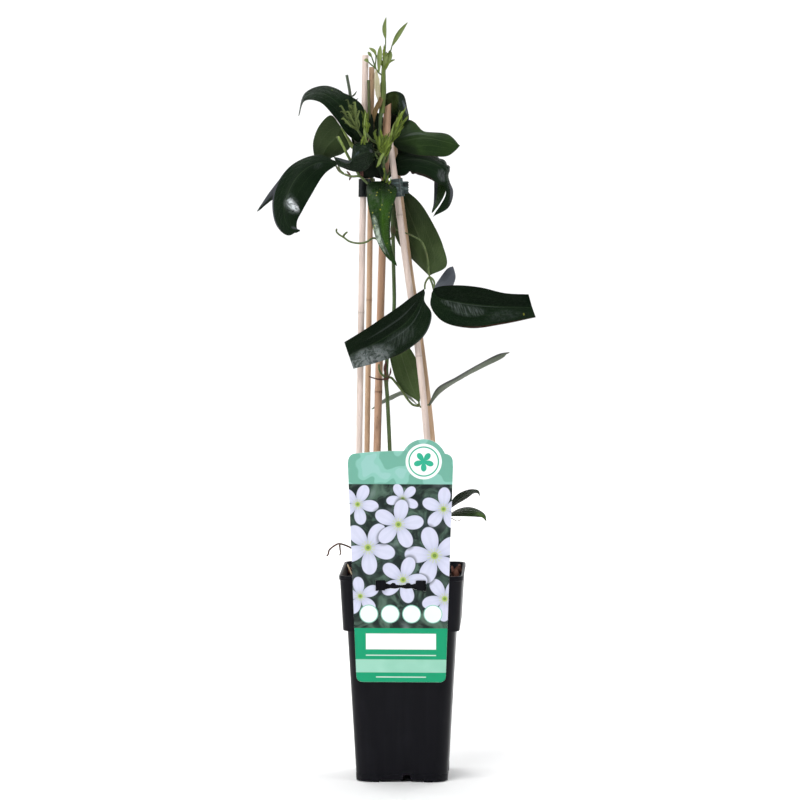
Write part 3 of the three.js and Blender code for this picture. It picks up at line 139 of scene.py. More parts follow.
# %% Meshes
class Skin:
    """Collects closed grids of points and makes them one object that stands for CAD nodes."""

    def __init__(self):
        self.points, self.faces, self.maps, self.finish, self.tone = [], [], [], [], []
        self.total = 0

    def add(self, rows, across=None, finish=0, tone=0.5):
        """rows is (rings, points a ring, 3), in millimetres. across gives each point's place round the
        ring and one more for the closing point. finish is a number, or one for each column of quads.
        tone is a number, or one for each ring."""
        n, m, _ = rows.shape
        across = np.linspace(0, 1, m + 1) if across is None else np.asarray(across, float)
        along = np.linspace(0, 1, n)
        i, j = (g.ravel() for g in np.meshgrid(np.arange(n - 1), np.arange(m), indexing="ij"))
        k = (j + 1) % m
        quads = np.stack([i * m + j, i * m + k, (i + 1) * m + k, (i + 1) * m + j], axis=1)
        quad_map = np.stack([
            across[j], along[i], across[j + 1], along[i],
            across[j + 1], along[i + 1], across[j], along[i + 1]], 1)
        ring = np.arange(m)
        nxt = (ring + 1) % m
        first, last = n * m, n * m + 1
        mid = (across[ring] + across[ring + 1]) / 2
        caps = np.concatenate([
            np.stack([np.full(m, first), nxt, ring], 1),
            np.stack([np.full(m, last), (n - 1) * m + ring, (n - 1) * m + nxt], 1)])
        zero, one = np.zeros(m), np.ones(m)
        cap_map = np.concatenate([
            np.stack([mid, zero, across[ring + 1], zero, across[ring], zero], 1),
            np.stack([mid, one, across[ring], one, across[ring + 1], one], 1)])
        points = np.vstack([rows.reshape(-1, 3), rows[0].mean(0), rows[-1].mean(0)])
        a, b, c, d = (points[quads[:, s]] for s in range(4))
        e, f, g = (points[caps[:, s]] for s in range(3))
        volume = (a * np.cross(b, c)).sum() + (a * np.cross(c, d)).sum() + (e * np.cross(f, g)).sum()
        if volume < 0:
            quads, caps = quads[:, ::-1], caps[:, ::-1]
            quad_map = quad_map.reshape(-1, 4, 2)[:, ::-1].reshape(-1, 8)
            cap_map = cap_map.reshape(-1, 3, 2)[:, ::-1].reshape(-1, 6)
        kinds = np.broadcast_to(np.asarray(finish), m)
        self.faces += (quads + self.total).tolist() + (caps + self.total).tolist()
        self.maps += [quad_map.ravel(), cap_map.ravel()]
        self.finish += [kinds[j], kinds[ring], kinds[ring]]
        tones = np.broadcast_to(np.asarray(tone, float).reshape(-1, 1), (n, m)).ravel()
        self.tone += [tones, [tones[0], tones[-1]]]
        self.points.append(points)
        self.total += len(points)
        return self

    def make(self, name, nodes, slot, finishes, sharp=45):
        """Puts the mesh together at the origin, with its place in its points."""
        mesh = bpy.data.meshes.new(name)
        mesh.from_pydata((np.vstack(self.points) * MM).tolist(), [], self.faces)
        mesh.uv_layers.new(name="UVMap").uv.foreach_set("vector", np.concatenate(self.maps))
        tones = np.concatenate(self.tone).astype(np.float32)
        mesh.attributes.new("tone", "FLOAT", "POINT").data.foreach_set("value", tones)
        for finish in finishes:
            mesh.materials.append(finish)
        mesh.polygons.foreach_set("material_index", np.concatenate(self.finish).astype(np.int32))
        mesh.polygons.foreach_set("use_smooth", np.ones(len(mesh.polygons), bool))
        mesh.set_sharp_from_angle(angle=math.radians(sharp))
        return settle(bpy.data.objects.new(name, mesh), nodes)


def settle(piece, nodes):
    """Links a finished object, lets it ride on the CAD body and hides the solids it stands for."""
    bpy.context.scene.collection.objects.link(piece)
    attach(piece, "root")
    if nodes:
        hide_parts(*nodes)
    print(piece.name, "has", len(piece.data.polygons), "faces")
    return piece


# %% [markdown]
# ## Round sections along a line
# Canes, stems, stalks and straws are all round sections carried along a line. Each ring needs two
# directions square to the line, and both come from cross products with one guide direction. Blender's
# own bevelled curves twist where a line turns sharply, while one guide for the whole line keeps every
# ring in step. The guide is the one of five that lies furthest from the line everywhere.

# %% Tubes
def spokes(side, back, count):
    """Angles round a line, and the direction that points outwards at each of them: the first direction
    times the cosine plus the second times the sine."""
    turn = np.linspace(0, 2 * np.pi, count + 1)[:-1]
    return turn, np.cos(turn)[None, :, None] * side[:, None] + np.sin(turn)[None, :, None] * back[:, None]


def tube(points, radius, tip=None, sides=10, spacing=1.6, swell=None, ribs=0.0, rounded=True):
    """Rings of a round section carried along a smooth line. The radius runs evenly from radius to tip,
    plus a swelling by height, times one plus a small cosine of six times the angle for its ribs. Both
    ends are rounded off over one radius by a quarter circle."""
    run, places = length_along(points, 300)
    length = run[-1]
    inner = np.linspace(0, length, max(4, int(length / spacing)) + 1)
    ends = radius * (1 - np.cos(np.linspace(0, np.pi / 2, 4)))[1:-1] if rounded else []
    d = np.unique(np.concatenate([inner, ends, length - np.asarray(ends)])) if rounded else inner
    centre = line_at(points, np.interp(d, run, places))
    along = unit(np.gradient(centre, d, axis=0))
    choices = unit(np.array([[1, 0, 0], [0, 1, 0], [0, 0, 1], [1, 1, 0.3], [0.3, -1, 1.0]], float))
    guide = choices[np.abs(along @ choices.T).max(0).argmin()]
    side = unit(np.cross(along, guide))
    back = np.cross(along, side)
    tip = radius if tip is None else tip
    r = radius + (tip - radius) * d / length + (swell(centre[:, 2]) if swell else 0)
    if rounded:
        near = np.minimum(d, length - d) / radius
        r = r * np.sqrt(np.clip(1 - (1 - np.clip(near, 0.02, 1)) ** 2, 0, 1))
    turn, spoke = spokes(side, back, sides)
    ring = r[:, None] * (1 + ribs * np.cos(6 * turn))
    return centre[:, None] + ring[..., None] * spoke


sample = tube(through("0 0 0, 5 0 2, 10 0 0"), 1.0)
print("a bent tube has", sample.shape[0], "rings of", sample.shape[1], "points")

# %% [markdown]
# ## Finishes from nodes
# A finish is a material made of nodes. Wiring dozens of Math nodes by hand hides the idea, so a small
# class wraps a socket: adding or multiplying two wrapped numbers adds the Math node that does it.
# Everything else, such as noise or a colour mix, comes from one method that takes the node's type,
# its settings and what goes into its sockets.

# %% Shader arithmetic
class Number:
    """A number that changes over a surface."""

    def __init__(self, finish, socket):
        self.finish, self.socket = finish, socket

    def math(self, operation, *values, clamp=False):
        sockets = dict(enumerate((self, *values)))
        return self.finish.node("ShaderNodeMath", {"operation": operation, "use_clamp": clamp}, sockets)

    def __add__(self, other):
        return self.math("ADD", other)

    def __sub__(self, other):
        return self.math("SUBTRACT", other)

    def __mul__(self, other):
        return self.math("MULTIPLY", other)

    def __truediv__(self, other):
        return self.math("DIVIDE", other)

    def __pow__(self, other):
        return self.math("POWER", other)

    def __rsub__(self, other):
        return self.finish.node("ShaderNodeMath", {"operation": "SUBTRACT"}, {0: other, 1: self})

    __radd__, __rmul__ = __add__, __mul__

    def abs(self):
        return self.math("ABSOLUTE")

    def least(self, other):
        return self.math("MINIMUM", other)

    def wave(self):
        return self.math("SINE")

    def rise(self, low, high):
        """0 below low, 1 above high, and a smooth step between. With low above high it falls instead."""
        sockets = {"Value": self, "From Min": low, "From Max": high}
        return self.finish.node("ShaderNodeMapRange", {"interpolation_type": "SMOOTHSTEP"}, sockets)


def scaled(colour, share):
    """A colour made darker or lighter by a share, up to full white."""
    return tuple(min(1, channel * share) for channel in colour)


class Finish:
    """A material under construction, with one Principled shader."""

    def __init__(self, name, **constants):
        self.material = bpy.data.materials.new(name)
        self.material.use_nodes = True
        self.tree = self.material.node_tree
        self.tree.nodes.clear()
        self.shader = self.tree.nodes.new("ShaderNodeBsdfPrincipled")
        output = self.tree.nodes.new("ShaderNodeOutputMaterial")
        self.tree.links.new(self.shader.outputs[0], output.inputs[0])
        self.wear(**constants)

    def feed(self, socket, value):
        if isinstance(value, Number):
            self.tree.links.new(value.socket, socket)
        elif socket.type == "RGBA" and len(value) == 3:
            socket.default_value = (*value, 1)
        else:
            socket.default_value = value

    def node(self, kind, settings=None, sockets=None, out=0):
        node = self.tree.nodes.new(kind)
        for key, value in (settings or {}).items():
            setattr(node, key, value)
        for key, value in (sockets or {}).items():
            self.feed(node.inputs[key], value)
        return Number(self, node.outputs[out])

    def place(self, stretch=(1, 1, 1)):
        """The point on the object, in metres, with each axis multiplied."""
        place = self.node("ShaderNodeTexCoord", out="Object")
        return self.node("ShaderNodeVectorMath", {"operation": "MULTIPLY"}, {0: place, 1: stretch})

    def across_along(self):
        """The two coordinates of the surface that Skin keeps."""
        uv = self.tree.nodes.new("ShaderNodeSeparateXYZ")
        self.feed(uv.inputs[0], self.node("ShaderNodeUVMap", {"uv_map": "UVMap"}))
        return Number(self, uv.outputs[0]), Number(self, uv.outputs[1])

    def tone(self):
        return self.node("ShaderNodeAttribute", {"attribute_name": "tone"}, out="Fac")

    def noise(self, place, scale, detail=3, roughness=0.5, distortion=0):
        sockets = {"Vector": place, "Scale": scale, "Detail": detail, "Roughness": roughness}
        return self.node("ShaderNodeTexNoise", {}, {**sockets, "Distortion": distortion})

    def cells(self, place, scale, feature="F1"):
        return self.node("ShaderNodeTexVoronoi", {"feature": feature}, {"Vector": place, "Scale": scale})

    def mix(self, share, a, b):
        """Colour a where share is 0 and colour b where it is 1."""
        node = self.tree.nodes.new("ShaderNodeMix")
        node.data_type = "RGBA"
        for index, value in ((0, share), (6, a), (7, b)):
            self.feed(node.inputs[index], value)
        return Number(self, node.outputs[2])

    def relief(self, height, distance, strength=1.0):
        """A Bump node: height 1 stands distance metres above height 0."""
        sockets = {"Height": height, "Distance": distance, "Strength": strength}
        self.feed(self.shader.inputs["Normal"], self.node("ShaderNodeBump", {}, sockets))

    def wear(self, **sockets):
        """Feeds the shader's inputs, whose names are written with _ for a space."""
        for key, value in sockets.items():
            self.feed(self.shader.inputs[key.replace("_", " ")], value)
        return self.material


# %% [markdown]
# ## Camera
# The view is almost level, from more than three and a half metres away with a long lens, so the canes
# stay nearly parallel. The picture is square, so the lens length follows from the sensor's width and
# from how many picture points one radian takes.

# %% Camera
EYE, TARGET = (0.13226, -3.59757, 0.645), (-0.0028, -0.0001, 0.34)
POINTS_A_RADIAN, POINTS_ACROSS, SENSOR_WIDTH = 4023.27, 800, 36


def stand_camera(eye, target, lens):
    """A camera at one point that looks at another. Its sensor is as wide as SENSOR_WIDTH, in millimetres."""
    camera = bpy.data.cameras.new("camera")
    camera.lens, camera.sensor_width = lens, SENSOR_WIDTH
    camera.clip_start, camera.clip_end = 0.1, 30
    stand = bpy.data.objects.new("camera", camera)
    stand.location = eye
    stand.rotation_euler = (Vector(target) - Vector(eye)).to_track_quat("-Z", "Y").to_euler()
    bpy.context.scene.collection.objects.link(stand)
    bpy.context.scene.camera = stand


stand_camera(EYE, TARGET, POINTS_A_RADIAN / POINTS_ACROSS * SENSOR_WIDTH)
print("the camera stands", round(math.dist(EYE, TARGET), 2), "m away")

# %% [markdown]
# ## Floor and light
# The plant stands on a plain pale floor. All round it, far outside the camera's place, the floor curves
# up into a wall, so no edge shows from any side. Dark waxy leaves and black plastic show whatever is in
# front of them, so the room itself is kept dim: the light comes from large soft lamps above and at both
# sides, and three more lamps shine on the wall alone and keep it white.

# %% Floor, wall and lamps
FLOOR_REACH, WALL_BEND, WALL_LEVELS = 4.2, 1.2, [2.5, 4.5]  # in metres


def make_floor():
    """A profile turned round the upright axis: level, then a quarter circle up, then an upright wall."""
    bend = np.linspace(0, np.pi / 2, 16)
    wall_reach = FLOOR_REACH + WALL_BEND
    out = np.concatenate([[0.02, 1, 2, 3], FLOOR_REACH + WALL_BEND * np.sin(bend), [wall_reach, wall_reach]])
    level = np.concatenate([[0, 0, 0, 0], WALL_BEND - WALL_BEND * np.cos(bend), WALL_LEVELS])
    turn = np.linspace(0, 2 * np.pi, 96, endpoint=False)
    reach = out[:, None]
    points = np.stack([reach * np.cos(turn), reach * np.sin(turn), level[:, None] + 0 * turn], -1)
    n, m = len(out), len(turn)
    ring, place = np.meshgrid(np.arange(n - 1), np.arange(m), indexing="ij")
    after = (place + 1) % m
    corners = (ring * m + place, (ring + 1) * m + place, (ring + 1) * m + after, ring * m + after)
    quads = np.stack(corners, -1).reshape(-1, 4)
    mesh = bpy.data.meshes.new("floor")
    mesh.from_pydata(points.reshape(-1, 3).tolist(), [], quads.tolist() + [list(range(m))])
    mesh.polygons.foreach_set("use_smooth", np.ones(len(quads) + 1, bool))
    floor = bpy.data.objects.new("floor", mesh)
    bpy.context.scene.collection.objects.link(floor)
    paint = Finish("pale_floor", Base_Color=(0.84, 0.84, 0.84), Roughness=0.9, Specular_IOR_Level=0.1)
    mesh.materials.append(paint.material)


def hang_lamp(name, place, target, size, power):
    """A lamp that looks at its target, with its size in metres and its power in watts."""
    light = bpy.data.lights.new(name, "AREA")
    light.shape = "RECTANGLE"
    light.size, light.size_y = size
    light.energy = power
    lamp = bpy.data.objects.new(name, light)
    lamp.location = place
    lamp.rotation_euler = (Vector(target) - Vector(place)).to_track_quat("-Z", "Y").to_euler()
    lamp.visible_camera = False
    bpy.context.scene.collection.objects.link(lamp)


LAMPS = [
    ("lamp_above", (-0.7, -1.5, 2.5), (0, 0, 0.3), (1.3, 0.9), 44),
    ("lamp_left", (-2.0, -1.5, 1.0), (0, 0, 0.35), (0.6, 1.3), 17),
    ("lamp_right", (2.1, -1.4, 1.2), (0, 0, 0.35), (0.6, 1.3), 17),
    ("wall_back", (0, 1.2, 3.2), (0, 4.6, 0.2), (2.4, 0.6), 150),
    ("wall_left", (-1.4, 0.6, 3.2), (-4.6, 0.6, 0.2), (0.6, 2.4), 45),
    ("wall_right", (1.4, 0.6, 3.2), (4.6, 0.6, 0.2), (0.6, 2.4), 45),
]
SKY_COLOUR, SKY_STRENGTH = (0.9, 0.95, 1.0, 1), 0.12
make_floor()
for lamp in LAMPS:
    hang_lamp(*lamp)
world = bpy.data.worlds.new("dim_room")
world.use_nodes = True
world.node_tree.nodes["Background"].inputs[0].default_value = SKY_COLOUR
world.node_tree.nodes["Background"].inputs[1].default_value = SKY_STRENGTH
bpy.context.scene.world = world
bpy.context.scene.view_settings.view_transform = "Standard"
print(len(LAMPS), "lamps in a dim room")

# %% [markdown]
# ## The pot
# A deep square pot, thin moulded plastic with a collar on top: the collar stands out from the body, so
# that pots stack, and carries a thickened rim. It is one closed skin of level rings: from the middle of
# the floor up the inside, over the rim, down the outside, round the skirt's edge and back to the middle
# of the underside. The ring is a square with round corners, and its lowest edge rises and falls: it
# stands on eight short feet and has a drain notch in each side. Boxes with bevels would need many
# cuts, while rings give every wall its taper at once.

# %% Pot shape
POT_HEIGHT, COLLAR_FOOT = 187.5, 137.5
FLOOR_UNDER, FLOOR_TOP, PAD_RADIUS = 9.0, 10.6, 6.0
DRAIN_REACH, DRAIN_RADIUS = 34.0, 5.0
FOOT_RUN = 29  # half the straight run of the skirt's edge, on which feet and notches have their places
FOOT_STEPS = np.array([-28, -27.6, -20.4, -20, 20, 20.4, 27.6, 28]) / FOOT_RUN
NOTCH_STEPS = np.array([0.6, 1.0, 1.86, 1.9, 7.9, 7.94, 8.8, 9.2]) / FOOT_RUN
SIDE_STEPS = np.unique(np.concatenate([np.linspace(-1, 1, 15), FOOT_STEPS, NOTCH_STEPS]))
CORNER_POINTS = 9


def square_ring(width, corner):
    """A level ring that runs round a square with round corners: four straight runs, with an arc between
    each two. The arc's points are the corner's centre plus its radius times cosine and sine."""
    reach = width / 2 - corner
    run = np.stack([SIDE_STEPS * reach, np.full_like(SIDE_STEPS, -width / 2)], 1)
    turn = np.radians(np.linspace(-90, 0, CORNER_POINTS + 2)[1:-1])
    bend = np.stack([reach + corner * np.cos(turn), -reach + corner * np.sin(turn)], 1)
    side = np.vstack([run, bend])
    quarter = np.array([[0, 1], [-1, 0]])
    return np.vstack([side @ np.linalg.matrix_power(quarter, turns) for turns in range(4)])


def level_ring(width, corner, height):
    """The same ring in space. Its height is one number, or one for each point."""
    flat = square_ring(width, corner)
    return np.column_stack([flat, np.broadcast_to(height, len(flat))])


def pot_foot():
    """How high the skirt's edge is at each point of a ring: 1.7 mm between the feet, 0 on a foot, 0.9
    at the corners, and up to 6.4 in the notch, whose mouth is wider."""
    x = SIDE_STEPS * FOOT_RUN
    rise = np.where(np.abs(x) <= 20.2, 1.7, np.where(np.abs(x) < 27.8, 0.0, 0.9))
    off = np.abs(x - 4.9)
    rise = np.where(off < 4.1, np.where(off < 3.02, 6.4, 2.3 + 1.4 * (4.3 - off) / 1.3), rise)
    return np.tile(np.concatenate([rise, np.full(CORNER_POINTS, 0.9)]), 4)


def pot_rings():
    """Rings from the floor's middle up the inside and down the outside, as (width, corner, height). The
    skirt's edge follows the feet: its rings are (width, corner, lift over the feet, height in the notch).
    Last come the underside and the round pad in its middle, which reaches down to the ground."""
    inner = [
        (14, 4, FLOOR_TOP), (76, 9, FLOOR_TOP), (79.2, 10.6, FLOOR_TOP + 0.6),
        (93.6, 8.6, COLLAR_FOOT + 0.9), (94.4, 8.6, COLLAR_FOOT + 1.4), (100.6, 8.6, COLLAR_FOOT + 1.4),
        (101.4, 8.6, COLLAR_FOOT + 2), (106.2, 7.6, POT_HEIGHT - 0.7), (106.9, 7.8, POT_HEIGHT - 0.1),
        (107.8, 8.2, POT_HEIGHT)]
    outer = [
        (109.8, 8.8, POT_HEIGHT), (110.6, 9, POT_HEIGHT - 0.25), (110.8, 9, POT_HEIGHT - 0.9),
        (110.7, 9, POT_HEIGHT - 3.6), (110.4, 9, POT_HEIGHT - 4.1), (109.4, 9, POT_HEIGHT - 4.5),
        (109.1, 9, POT_HEIGHT - 5.2), (104.2, 10, COLLAR_FOOT + 0.8), (104, 10, COLLAR_FOOT + 0.3),
        (103.6, 10, COLLAR_FOOT), (97, 10, COLLAR_FOOT), (96.5, 10, COLLAR_FOOT - 0.5),
        (82.2, 12, 7.4), (82.1, 12, 7.1), (82.5, 12, 6.9)]
    edge = [
        (82.2, 12, 0.5, 6.5), (82, 12, 0.12, 6.45), (81.6, 12, 0, 6.4), (79.6, 10.8, 0, 6.4),
        (79.2, 10.6, 0.3, 6.5)]
    foot = pot_foot()
    level = [level_ring(*ring) for ring in inner + outer]
    for width, corner, lift, top in edge:
        level.append(level_ring(width, corner, np.maximum(foot + lift, np.where(foot > 6, top, 0))))
    level.append(level_ring(79.2, 10.6, FLOOR_UNDER))
    turn = np.arctan2(level[0][:, 1], level[0][:, 0])
    pad = np.column_stack([np.cos(turn), np.sin(turn)])
    pad_rings = [(0.3, FLOOR_UNDER), (0, FLOOR_UNDER - 0.3), (0, 0.3), (-0.3, 0)]
    for wider, height in pad_rings:
        level.append(np.column_stack([pad * (PAD_RADIUS + wider), np.full(len(foot), height)]))
    return np.stack(level)


def soft_box(size, centre, corner=0.3):
    """Rings of a small box with softened ends: the level section shrinks by the corner at both ends."""
    w, d, h = np.array(size) / 2
    ring = np.array([[-1, -1], [0, -1], [1, -1], [1, 0], [1, 1], [0, 1], [-1, 1], [-1, 0]], float)
    levels = [(-h, corner), (-h + corner, 0), (h - corner, 0), (h, corner)]
    rows = [np.column_stack([ring * (w - c, d - c), np.full(len(ring), z)]) for z, c in levels]
    return np.stack(rows) + np.array(centre)


print("a ring of the pot has", len(square_ring(100, 10)), "points")


# %% [markdown]
# ## The pot's plastic
# Black recycled plastic is never quite black: it is a satin dark grey, scuffed here and there and dusty in
# patches. The plastic ran upwards in the mould, so faint streaks run up the walls, and their paler colour is
# also a painted reflection, the streaky sheen of the walls. Stretched noise makes the streaks, and an even
# noise the dust. Flat noise makes the scuffs.

# %% Pot plastic
def pot_plastic():
    finish = Finish("pot_plastic", IOR=1.48, Specular_IOR_Level=0.12)
    streaks = finish.noise(finish.place((160, 160, 9)), 1, 4, 0.6)
    grain = finish.noise(finish.place(), 900, 3, 0.6)
    dust = finish.noise(finish.place(), 38, 5, 0.65)
    scuffs = finish.noise(finish.place((60, 60, 340)), 1, 5, 0.75, 0.4).rise(0.62, 0.74)
    dusty = dust.rise(0.5, 0.78) * 0.5 + scuffs * 0.35
    # pale mixes dust and scuffs with the streaks. The streaks' lighter colour is partly mould flow lines and
    # partly a painted streaky reflection.
    pale = dusty * 0.5 + streaks.rise(0.35, 0.75) * 0.22
    colour = finish.mix(pale, (0.0020, 0.0020, 0.0040), (0.011, 0.011, 0.015))
    finish.relief(grain * 0.3 + streaks * 0.7 + scuffs * 0.2, 0.0001, 0.5)
    return finish.wear(Base_Color=colour, Roughness=streaks * 0.14 + dusty * 0.2 + 0.32)


# %% [markdown]
# ## The pot with its pegs and drain holes
# The tag hangs on two pegs at the front of the collar, each a small box with a lip. Where they stand
# follows from how the tag leans: it keeps a third of a millimetre off the collar's lower edge and off
# the bead of the rim. The drain holes are the one thing that rings can't give, so a boolean cuts them
# with four cylinders.

# %% Pot
COLLAR_FRONT, COLLAR_SPREAD, BEAD, BEAD_RISE = -52, 2.6, 0.8, 45.5
TAG_LEAN = math.atan2(COLLAR_SPREAD + BEAD, BEAD_RISE)
TAG_FOOT_LEVEL, TAG_THICKNESS, TAG_FIT = 92.0, 0.8, 0.35
SLOT_HEIGHT = 87.4  # from the tag's foot up to the middle of its slot
PEG_PLACES, PEG_WIDTH, PEG_HEIGHT = (-17.8, 17.8), 6.6, 5
LIP_WIDTH, LIP_THICKNESS, LIP_HEIGHT = 7.8, 1.2, 9


def tag_back(z):
    """Where the tag's back plane is at a height: just off the collar's lower edge and off the bead."""
    return COLLAR_FRONT - TAG_FIT - math.tan(TAG_LEAN) * (z - COLLAR_FOOT)


def drill(piece, places, radius, low, high):
    """Cuts upright round holes through a piece: a boolean takes a closed cylinder away at each place."""
    bits = bmesh.new()
    size = {"radius1": radius * MM, "radius2": radius * MM, "depth": (high - low) * MM}
    for x, y in places:
        middle = Matrix.Translation((x * MM, y * MM, (low + high) / 2 * MM))
        bmesh.ops.create_cone(bits, cap_ends=True, segments=28, matrix=middle, **size)
    tool = bpy.data.objects.new("drill_bits", bpy.data.meshes.new("drill_bits"))
    bits.to_mesh(tool.data)
    bits.free()
    bpy.context.scene.collection.objects.link(tool)
    cut = piece.modifiers.new("drain_holes", "BOOLEAN")
    cut.operation, cut.solver, cut.object = "DIFFERENCE", "EXACT", tool
    drilled = bpy.data.meshes.new_from_object(piece.evaluated_get(bpy.context.evaluated_depsgraph_get()))
    piece.modifiers.clear()
    piece.data = drilled
    bpy.data.objects.remove(tool)
    print(piece.name, "has", len(drilled.polygons), "faces with its holes")


def make_pot():
    pot = Skin().add(pot_rings())
    level = TAG_FOOT_LEVEL + SLOT_HEIGHT * math.cos(TAG_LEAN)
    lip = tag_back(level + PEG_HEIGHT) - TAG_THICKNESS - TAG_FIT
    reach = COLLAR_FRONT - lip + LIP_THICKNESS
    for side in PEG_PLACES:
        pot.add(soft_box((PEG_WIDTH, reach, PEG_HEIGHT), (side, COLLAR_FRONT - reach / 2 + 0.6, level)))
        size = (LIP_WIDTH, LIP_THICKNESS, LIP_HEIGHT)
        pot.add(soft_box(size, (side, lip - LIP_THICKNESS / 2, level + 0.6)))
    piece = pot.make("square_pot", ["pot"], "pot_plastic", [pot_plastic()], sharp=35)
    drains = DRAIN_REACH * np.array([[1, 1], [-1, 1], [-1, -1], [1, -1]]) / math.sqrt(2)
    drill(piece, drains.tolist(), DRAIN_RADIUS, FLOOR_UNDER - 1.2, FLOOR_TOP + 1.2)


make_pot()

# %% [markdown]
# ## Bark compost
# The pot is filled to a finger below its rim with a dark, crumbly compost of bark. The body is one
# closed skin like the pot's inside, and its top is raised by two sine waves and roughened by noise.
# A noise alone never looks like bark, so a few hundred flat chips lie on it: each is a six-sided slab,
# turned and tilted by a seeded draw. A straw leans in one corner.

# %% Compost
COMPOST_LEVEL = 176
EDGE_CHIPS = through(
    "46 38 181, 49 30 182.5, 43.5 46 180, 50 42 184, 47.5 24 180, -45 44 180, -50 36 181")
STRAW = through("-52 33 187, -50 30 183, -47.5 26 178.5")


def compost_height(x, y):
    """The level with two crossed waves, as the solid has, and crumbs of two sizes on top."""
    waves = 1.5 * np.sin(0.21 * x + 1) * np.cos(0.17 * y) + 0.9 * np.sin(0.47 * y - 0.31 * x)
    flat = np.stack([x, y, 0 * x], -1)
    return COMPOST_LEVEL + waves + 0.7 * value_noise(flat, 3.2, 5) + 0.4 * value_noise(flat, 1.3, 6)


def compost_rows():
    """Rings up the pot's inside, as (width, corner, height), and then inwards over the top."""
    walls = [(78.5, 10.6, 11), (92.9, 8.6, 139.2), (100.5, 8.6, 139.3), (104.3, 7.6, 174.3)]
    rows = [level_ring(*wall) for wall in walls]
    edge = rows[-1][:, :2]
    for share in np.linspace(0.985, 0.015, 46):
        x, y = (edge * share).T
        rows.append(np.column_stack([x, y, compost_height(x, y)]))
    return np.stack(rows)


def slab(centre, size, angles, rng):
    """A flat chip: three rings of six points, the middle one widest, turned about three axes."""
    turn = np.linspace(0, 2 * np.pi, 7)[:-1] + rng.uniform(-0.3, 0.3, 6)
    ring = np.column_stack([np.cos(turn), np.sin(turn)]) * rng.uniform(0.75, 1.1, (6, 1))
    levels = ((-0.5, 0.7), (0.05, 1), (0.5, 0.75))
    rows = np.stack([np.column_stack([ring * wide, np.full(6, z)]) for z, wide in levels])
    a, b, c = angles
    about_z = np.array([[np.cos(a), -np.sin(a), 0], [np.sin(a), np.cos(a), 0], [0, 0, 1]])
    about_x = np.array([[1, 0, 0], [0, np.cos(b), -np.sin(b)], [0, np.sin(b), np.cos(b)]])
    about_y = np.array([[np.cos(c), 0, np.sin(c)], [0, 1, 0], [-np.sin(c), 0, np.cos(c)]])
    return (rows * np.array(size)) @ (about_z @ about_x @ about_y).T + np.array(centre)


def compost_finish(name, dark, light, rough=0.9):
    """Crumbs from two noises, with each chip a little lighter or redder by its own tone."""
    finish = Finish(name, Specular_IOR_Level=0.25)
    crumbs = finish.noise(finish.place(), 420, 5, 0.7)
    fibre = finish.noise(finish.place((500, 110, 500)), 1, 3, 0.6)
    colour = finish.mix((crumbs * 0.5 + finish.tone() * 0.7 - 0.1).rise(0.15, 0.85), dark, light)
    finish.relief(crumbs + fibre * 0.5, 0.0006, 0.8)
    return finish.wear(Base_Color=colour, Roughness=crumbs * 0.1 + (rough - 0.05))


def make_compost():
    rng = np.random.default_rng(11)
    compost = Skin().add(compost_rows(), tone=0.15)
    spots = rng.uniform(-49, 49, (430, 2))
    heights = compost_height(*spots.T)
    for (x, y), z in zip(spots, heights):
        size = (rng.uniform(1.6, 4.6), rng.uniform(1, 2.4), rng.uniform(0.7, 1.7))
        angles = (rng.uniform(0, 6.3), rng.normal(0, 0.35), rng.normal(0, 0.35))
        compost.add(slab((x, y, z + 0.3), size, angles, rng), finish=1, tone=rng.uniform(0, 1))
    for place in EDGE_CHIPS:
        compost.add(slab(place, (5.2, 3.4, 2.2), rng.uniform(0, 3, 3), rng), finish=1, tone=0.95)
    compost.add(tube(STRAW, 0.7, sides=8), finish=2, tone=0.5)
    looks = [
        compost_finish("compost", (0.006, 0.004, 0.003), (0.05, 0.028, 0.018)),
        compost_finish("bark_chip", (0.014, 0.007, 0.005), (0.125, 0.052, 0.034), 0.85),
        compost_finish("straw", (0.35, 0.27, 0.16), (0.62, 0.52, 0.36), 0.7)]
    compost.make("bark_compost", ["soil"], "potting_soil", looks, sharp=60)


make_compost()

# %% [markdown]
# ## Canes
# Five thin bamboo canes: four meet at the top as a wigwam, and an older mottled one stands in the
# middle. Bamboo is nearly round and straight-grained, with a joint every hand's width: a small swelling
# with a sharp groove in it. The section is carried along the cane's line, and the rings are set closer
# together where a joint needs them. A tone, which is 0 at a joint and 1 away from it, tells the finish
# where to darken.

# %% Canes
CANES = {
    "cane_front_left": {
        "radius": 2.9, "joints": [62, 196, 331, 470],
        "path": through("-40 -31 89, -39.5 -30 177, -38.3 -24 300, -36.2 -14 464.5, -33.5 -3 648.5"),
    },
    "cane_back_left": {
        "radius": 2.6, "joints": [80, 205, 352, 489],
        "path": through("-36 34 78, -35.5 31 177, -33.5 23 296, -30.5 12 464, -28 1 638"),
    },
    "cane_centre": {
        "radius": 3.5, "joints": [98, 190, 303, 448, 520], "top_slant": 2.2,
        "path": through("-29 5 44.5, -26.5 4 177, -23.5 3 297, -19 1.5 464, -14 1 604"),
    },
    "cane_front_right": {
        "radius": 3, "joints": [40, 171, 322, 449],
        "path": through("31 -31 60, 30 -30 177, 22.5 -22 304.5, 14 -17.5 386.5, 3 -13 464.5, -11.6 -7 572"),
    },
    "cane_back_right": {
        "radius": 2.7, "joints": [70, 224, 345, 468],
        "path": through("36 27 60, 34.5 24 177, 26 17 300.5, 16.5 12.5 384, 5 9.5 463.5, -9.5 5 576"),
    },
}


